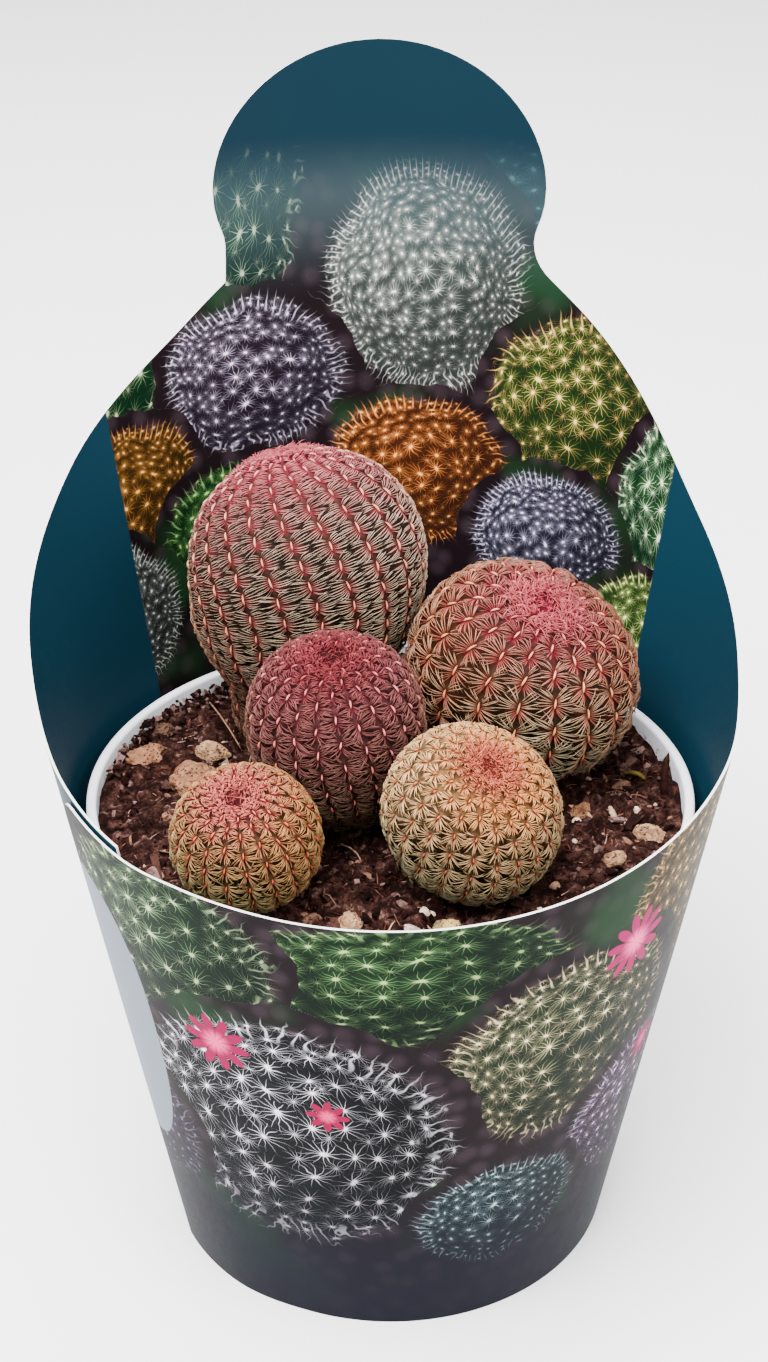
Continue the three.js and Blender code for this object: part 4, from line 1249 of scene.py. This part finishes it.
# Rows of the header from its foot to its top: heights, and where its left and right edges are
middle = cone_radius(HEADER_WIDEST_Z) * math.sin(math.radians(HEADER_TURN))
t = np.linspace(0, 1, HEADER_BENDS)[:, None]
side_curve = []
for side in (1, -1):
    foot = np.array([side * HEADER_FOOT_HALF_WIDTH, HEADER_SHOULDER_Z])
    neck = np.array([middle + side * HEADER_NECK_HALF_WIDTH, HEADER_NECK_Z])
    wide = np.array([middle + side * HEADER_HALF_WIDTH, HEADER_WIDEST_Z])
    bend = np.array([neck[0], HEADER_SHOULDER_Z + HEADER_BEND])
    lower = foot * (1 - t) ** 2 + 2 * bend * t * (1 - t) + neck * t**2
    rise = neck + [0, HEADER_BEND]
    join = wide - [0, 2 * HEADER_BEND]
    upper = neck * (1 - t) ** 3 + 3 * rise * t * (1 - t) ** 2 + 3 * join * t**2 * (1 - t) + wide * t**3
    sweep = np.linspace(0, math.pi / 2, HEADER_ARC)[1:, None]
    round_top = np.concatenate([
        middle + side * HEADER_HALF_WIDTH * np.cos(sweep),
        HEADER_WIDEST_Z + (HEADER_TOP_Z - HEADER_WIDEST_Z) * np.sin(sweep),
    ], 1)
    side_curve.append(np.concatenate([lower, upper[1:], round_top]))
right_edge, left_edge = side_curve


def strip_place(column, row):
    return strip_angles[column], strip_tops[column] * (row / LOWER_ROWS)


def header_place(column, row):
    x, z = fade(right_edge[row], left_edge[row], (column / HEADER_COLUMNS)[:, None]).T
    return 180 - np.degrees(np.arcsin(x / cone_radius(z))), z


strip = lay_grid(len(strip_angles) - 1, LOWER_ROWS, strip_place)
header = lay_grid(HEADER_COLUMNS, len(right_edge) - 1, header_place)
choose(strip)
header.select_set(True)
bpy.ops.object.join()
sleeve = bpy.context.object
close_up(2e-5)
face = sleeve.data.polygons[0]
if Vector((face.center.x, face.center.y, 0)).dot(face.normal) < 0:
    sleeve.data.flip_normals()
board = sleeve.modifiers.new("board", "SOLIDIFY")
board.thickness = CARD_BOARD * MM
board.offset = -1
board.use_even_offset = True
board.material_offset = 2
board.material_offset_rim = 1

SHEET = 100
CONE_TURN = CARD_FLARE / CONE_SLOPE
APEX = CARD_BASE_RADIUS / CONE_TURN
FLESH_SHADE = 0.5
PRINT_FRINGE = 1.22
PRINT_LIT_AT = (-0.3, 0.4, 0)


def corner_values(mesh, name):
    values = np.empty(len(mesh.vertices), np.float32)
    mesh.attributes[name].data.foreach_get("value", values)
    corner = np.empty(len(mesh.loops), np.int32)
    mesh.loops.foreach_get("vertex_index", corner)
    mesh.attributes.remove(mesh.attributes[name])
    return values[corner]


def sheet_map(mesh, name, turn, z, across):
    """Stores each face corner's place on the flat sheet that the sleeve is cut from, in SHEET mm.
    across is 1, or -1 for the face that is printed from behind."""
    swing = np.radians(turn) * CONE_TURN
    far = APEX + z * CONE_SLOPE
    places = np.stack([far * np.sin(swing) * across, far * np.cos(swing) - APEX], -1) / SHEET
    mesh.uv_layers.new(name=name).uv.foreach_set("vector", places.astype(np.float32).ravel())


def spikes(place, points, thin, reach):
    """Stars of thin tapered spikes on cells one wide, each turned its own way, and how far a place is
    from the middle of its star."""
    inputs = {"Vector": place, "Scale": 1.0, "Randomness": 0.5}
    middle = place.node("TexVoronoi", {"voronoi_dimensions": "2D"}, inputs, 2)
    away = place.vector("SUBTRACT", middle)
    chance = middle.output(1).parts()
    x, y, _ = away.parts()
    far = away.vector("LENGTH")
    turned = (y.maths("ARCTAN2", x) + chance[0] * 6.3) * (points / 2)
    beside = turned.maths("SINE").maths("ABSOLUTE") * far
    spoke = (beside + far * (thin / reach)).step(thin, thin * 0.4)
    return spoke * (chance[1] * 0.5 + 0.5), far


def printed_plants(sheet, ground, rows):
    """Prints round cacti over the ground, the later ones over the earlier: dark warty flesh that is lit
    from the upper left, stars of spines on it and a fringe of spines that stands out beyond its rim."""
    shake = sheet.node("TexNoise", None, {"Vector": sheet, "Scale": 9.0, "Detail": 3.0}, 1)
    shaken = shake.vector("SUBTRACT", (0.5, 0.5, 0.5)).vector("MULTIPLY", (0.07, 0.07, 0))
    sheet = sheet.vector("ADD", shaken)
    place = sheet.vector("SCALE", 0.0).vector("ADD", (9, 9, 1))
    colours = [ground] * 4
    for across, up, wide, tall, turn, skin, light_skin, spines, heart, stars in rows:
        local = sheet.vector("SUBTRACT", (across / SHEET, up / SHEET, 0))
        if turn:
            angle = {"Vector": local, "Angle": math.radians(turn)}
            local = local.node("VectorRotate", {"rotation_type": "Z_AXIS"}, angle)
        local = local.vector("MULTIPLY", (SHEET / wide, SHEET / tall, 0))
        inside = local.vector("LENGTH").step(PRINT_FRINGE + 0.001, PRINT_FRINGE)
        place = place.moved(local.vector("ADD", (0, 0, stars)), inside)
        colours = [old.mixed(new, inside) for old, new in zip(colours, (skin, light_skin, spines, heart))]
    skin, light_skin, spines, heart = colours
    x, y, stars = place.parts()
    flat = place.vector("MULTIPLY", (1, 1, 0))
    reach = flat.vector("LENGTH")
    lit = flat.vector("SUBTRACT", PRINT_LIT_AT).vector("LENGTH").step(1.35, 0.0)
    bulge = flat.vector("SCALE", (reach * reach * 0.55 + 1) * stars)
    bulge = bulge.vector("ADD", stars * 31).vector("MULTIPLY", (1, 1, 0))
    star, far = spikes(bulge, 13, 0.11, 0.85)
    other, _ = spikes(bulge.vector("ADD", (0.5, 0.43, 0)), 13, 0.06, 0.6)
    wart = 1 - far.step(0.12, 0.62)
    flesh = skin.mixed(light_skin, lit * (wart * 0.85 + 0.15))
    colour = ground.mixed(flesh, reach.step(1.0, 0.94))
    turned = y.maths("ARCTAN2", x) * (stars * 8) + shake.parts()[0] * 16
    fringe = (turned.maths("SINE").maths("ABSOLUTE") + (reach - 0.86) * 2.2).step(0.62, 0.24)
    fringe = fringe * reach.step(0.84, 0.95)
    colour = colour.mixed(spines, fringe * (lit * 0.55 + 0.3))
    within = reach.step(1.06, 0.98)
    colour = colour.mixed(spines, other * within * (lit * 0.7 + 0.12))
    colour = colour.mixed(spines, star * within * (lit * 0.8 + 0.3))
    return colour.mixed(heart, far.step(0.13, 0.05) * within * (lit * 0.5 + 0.3))


def printed_flower(below, sheet, flower):
    """Prints an open flower: pointed petals round a pale heart."""
    across, up, wide, petals, colour, heart = flower
    local = sheet.vector("SUBTRACT", (across / SHEET, up / SHEET, 0)).vector("SCALE", SHEET / wide)
    reach = local.vector("LENGTH")
    x, y, _ = local.parts()
    petal = (y.maths("ARCTAN2", x) * (petals / 2)).maths("COSINE").maths("ABSOLUTE")
    mask = (reach - petal * 0.55).step(0.5, 0.4)
    shaded = tone_mix(sheet, paint(*heart), paint(*colour), reach.step(0.1, 0.55))
    return below.mixed(shaded.mixed(paint(120, 20, 60), petal.step(0.6, 0.1) * 0.5), mask)


def printed_soil(sheet):
    """The dark ground of the picture, with blurred pebbles."""
    pebbles = sheet.node("TexVoronoi", {"voronoi_dimensions": "2D"}, {"Vector": sheet, "Scale": 18.0})
    blurred = pebbles.step(0.5, 0.1) * sheet.speckle(9, 3)
    ground = tone_mix(sheet, paint(26, 18, 22), paint(66, 54, 60), blurred)
    return ground.mixed(paint(34, 66, 40), sheet.speckle(3.1, 2).step(0.52, 0.66) * 0.7)


def plants(*rows):
    """The rows with their colours made ready; flesh is printed darker than it is given."""
    ready = []
    for row in rows:
        dark, light, spine, heart = (paint(*colour) for colour in row[5:9])
        dark, light = (tuple(c * FLESH_SHADE for c in colour[:3]) + (1.0,) for colour in (dark, light))
        ready.append((*row[:5], dark, light, spine, heart, row[9]))
    return ready


# Left or right of the middle and up from the base in mm, half width and height, turn; dark and light
# flesh, spines and heart of a star; stars across a half width
INSIDE_PLANTS = plants(
    (30, 204, 30, 18, 0, (20, 44, 50), (60, 96, 104), (120, 150, 160), (140, 166, 170), 5.0),
    (-34, 196, 15, 30, 10, (16, 40, 32), (48, 98, 62), (186, 200, 180), (220, 226, 210), 2.9),
    (56, 182, 15, 26, -10, (22, 40, 28), (72, 104, 60), (214, 200, 160), (236, 226, 190), 3.1),
    (8, 180, 21, 24, 0, (58, 64, 60), (150, 158, 150), (240, 240, 238), (250, 244, 240), 6.2),
    (-62, 168, 15, 22, 12, (18, 52, 34), (62, 120, 68), (206, 216, 190), (236, 236, 214), 2.8),
    (-30, 160, 20, 16, 0, (34, 22, 36), (84, 64, 84), (226, 220, 232), (250, 250, 252), 4.4),
    (44, 152, 22, 21, 0, (28, 48, 30), (88, 118, 66), (222, 202, 146), (248, 228, 180), 3.7),
    (-60, 136, 18, 17, 0, (52, 40, 24), (130, 96, 54), (226, 184, 124), (248, 214, 156), 4.6),
    (68, 134, 15, 20, 0, (20, 48, 34), (76, 124, 80), (214, 226, 206), (240, 240, 226), 3.0),
    (6, 138, 19, 16, 0, (60, 34, 26), (146, 88, 58), (236, 184, 126), (250, 212, 150), 4.2),
    (-34, 126, 17, 15, 0, (20, 46, 30), (66, 112, 64), (150, 184, 130), (200, 220, 160), 2.7),
    (36, 124, 17, 15, 0, (30, 28, 40), (88, 84, 104), (226, 222, 236), (250, 246, 255), 5.2),
    (-66, 112, 16, 16, 0, (48, 52, 50), (134, 142, 136), (238, 240, 236), (255, 255, 250), 5.6),
    (62, 106, 16, 15, 0, (36, 56, 34), (112, 144, 84), (226, 230, 180), (250, 246, 200), 3.3),
)
OUTSIDE_PLANTS = plants(
    (4, 98, 30, 15, 0, (18, 34, 26), (62, 94, 60), (146, 172, 130), (200, 208, 166), 3.0),
    (70, 92, 22, 24, 10, (44, 38, 26), (112, 96, 66), (212, 188, 140), (236, 210, 164), 4.6),
    (-46, 94, 24, 20, -8, (22, 40, 30), (66, 98, 66), (190, 204, 176), (222, 222, 196), 3.0),
    (36, 72, 26, 22, 0, (26, 40, 30), (80, 98, 70), (226, 216, 190), (246, 234, 212), 4.0),
    (-20, 54, 31, 29, 0, (12, 12, 15), (50, 52, 56), (232, 230, 234), (250, 238, 240), 3.6),
    (58, 40, 20, 17, 0, (32, 22, 34), (88, 64, 88), (196, 180, 200), (226, 212, 230), 4.0),
    (22, 30, 17, 14, 0, (18, 30, 32), (58, 80, 82), (180, 192, 196), (214, 224, 222), 3.6),
    (-60, 36, 19, 18, 0, (32, 22, 36), (84, 62, 88), (174, 158, 186), (206, 194, 214), 3.8),
)
FLOWERS = [
    (-34, 74, 7, 10, (150, 14, 84), (226, 110, 160)), (-12, 62, 4.2, 8, (146, 14, 74), (214, 96, 140)),
    (50, 90, 8, 11, (160, 24, 100), (232, 130, 180)), (60, 52, 4.6, 9, (138, 20, 84), (206, 100, 150)),
]
# A pale grey rounded patch laid over the outside picture near the lap: its middle, half sizes and roundness
PALE_PATCH_ANGLE = -66
PALE_PATCH_HEIGHT = 66
PALE_PATCH_HALF_ANGLE = 16.6
PALE_PATCH_HALF_HEIGHT = 34
PALE_PATCH_ROUNDNESS = 2.4


def card_face(name, uv_name):
    """Starts the finish of a face of the card: its shader, the place on the sheet and the teal ink."""
    material, tone, shader, where = new_material(name, Specular_IOR_Level=0.03)
    sleeve.data.materials.append(material)
    grain = where.speckle(900, 2)
    feed(shader, Normal=grain.relief(0.00003, 0.35), Roughness=grain * 0.12 + 0.4)
    teal = tone_mix(tone, paint(30, 54, 68), paint(36, 64, 78), where.speckle(14, 3))
    return shader, tone.node("UVMap", {"uv_map": uv_name}), teal


def cone_angle(sheet):
    """Angle round the sleeve in degrees and height in mm, from a place on the flat sheet."""
    x, y, _ = sheet.parts()
    up = y + APEX / SHEET
    angle = x.maths("ARCTAN2", up) * (180 / math.pi / CONE_TURN)
    far = (x * x + up * up).maths("SQRT")
    return angle, (far - APEX / SHEET) * (SHEET / CONE_SLOPE)


shader, sheet, teal = card_face("sleeve_outside", "front_sheet")
angle, z = cone_angle(sheet)
picture = printed_plants(sheet, printed_soil(sheet), OUTSIDE_PLANTS)
for flower in FLOWERS:
    picture = printed_flower(picture, sheet, flower)
foot_shade = z.step(50, 8) * 0.9 * (sheet.speckle(2.2, 2) * 0.5 + 0.7)
picture = picture.mixed(paint(20, 22, 36), foot_shade).mixed(teal, angle.step(96, 112))
# The pale grey rounded patch near the lap, laid over the picture
wide, tall = (
    (along * (1 / half)).maths("ABSOLUTE").maths("POWER", PALE_PATCH_ROUNDNESS)
    for along, half in ((angle - PALE_PATCH_ANGLE, PALE_PATCH_HALF_ANGLE), (z - PALE_PATCH_HEIGHT, PALE_PATCH_HALF_HEIGHT))
)
feed(shader, Base_Color=picture.mixed(paint(148, 155, 164), (wide + tall).step(1.02, 0.97)))

cut_edge, tone, shader, where = new_material("sleeve_cut_edge", Roughness=0.8)
sleeve.data.materials.append(cut_edge)
fibre = where.speckle(1200, 3)
feed(shader, Base_Color=tone_mix(tone, paint(224, 224, 220), paint(248, 248, 246), fibre))
feed(shader, Normal=fibre.relief(0.0001, 0.6))

shader, sheet, teal = card_face("sleeve_inside", "back_sheet")
angle, z = cone_angle(sheet)
picture = printed_plants(sheet, printed_soil(sheet), INSIDE_PLANTS)
picture = picture.mixed(paint(80, 96, 100), z.step(172, 200) * 0.6)
picture = picture.mixed(teal.mixed(paint(18, 32, 40), 0.6), z.step(190, 207))
bare = angle.step(53.6, 54.0) + angle.step(-51.0, -51.4)
feed(shader, Base_Color=picture.mixed(teal, bare))

bpy.ops.object.modifier_apply(modifier=board.name)
turn, rise = corner_values(sleeve.data, "turn"), corner_values(sleeve.data, "rise")
sheet_map(sleeve.data, "front_sheet", turn, rise, 1)
sheet_map(sleeve.data, "back_sheet", turn - 180, rise, -1)
finish_piece(sleeve, "card_sleeve", None, "sleeve", "sleeve", angle=40)


# Floor and lights of the studio: a pale matt table, a large soft lamp above the front left, a fill at the
# right, one behind and a pale sky. None of them belongs to the potted plant.
floor = start_shape(bpy.ops.mesh.primitive_plane_add, size=6, location=(0, 0, -0.0002))
floor.name = "studio_floor"
pale, tone, shader, where = new_material("pale_floor", Roughness=0.85)
feed(shader, Base_Color=tone_mix(tone, (0.86, 0.86, 0.86, 1), (0.9, 0.9, 0.9, 1), where.speckle(3, 2)))
floor.data.materials.append(pale)

# Place, size and power of each lamp
LAMPS = [((-0.3, -0.4, 1.2), 0.9, 76), ((0.7, -0.5, 0.7), 0.8, 13), ((0.0, 0.6, 1.0), 0.8, 16)]
LAMPS_AIM = Vector((0, 0, 0.11))
for place, size, power in LAMPS:
    bpy.ops.object.light_add(type="AREA", location=place)
    lamp = bpy.context.object
    lamp.data.size = size
    lamp.data.energy = power
    aim = LAMPS_AIM - Vector(place)
    lamp.rotation_euler = aim.to_track_quat("-Z", "Y").to_euler()
sky = bpy.data.worlds.new("studio_sky")
sky.use_nodes = True
sky.node_tree.nodes["Background"].inputs["Color"].default_value = (1, 1, 1, 1)
sky.node_tree.nodes["Background"].inputs["Strength"].default_value = 1.3
bpy.context.scene.world = sky
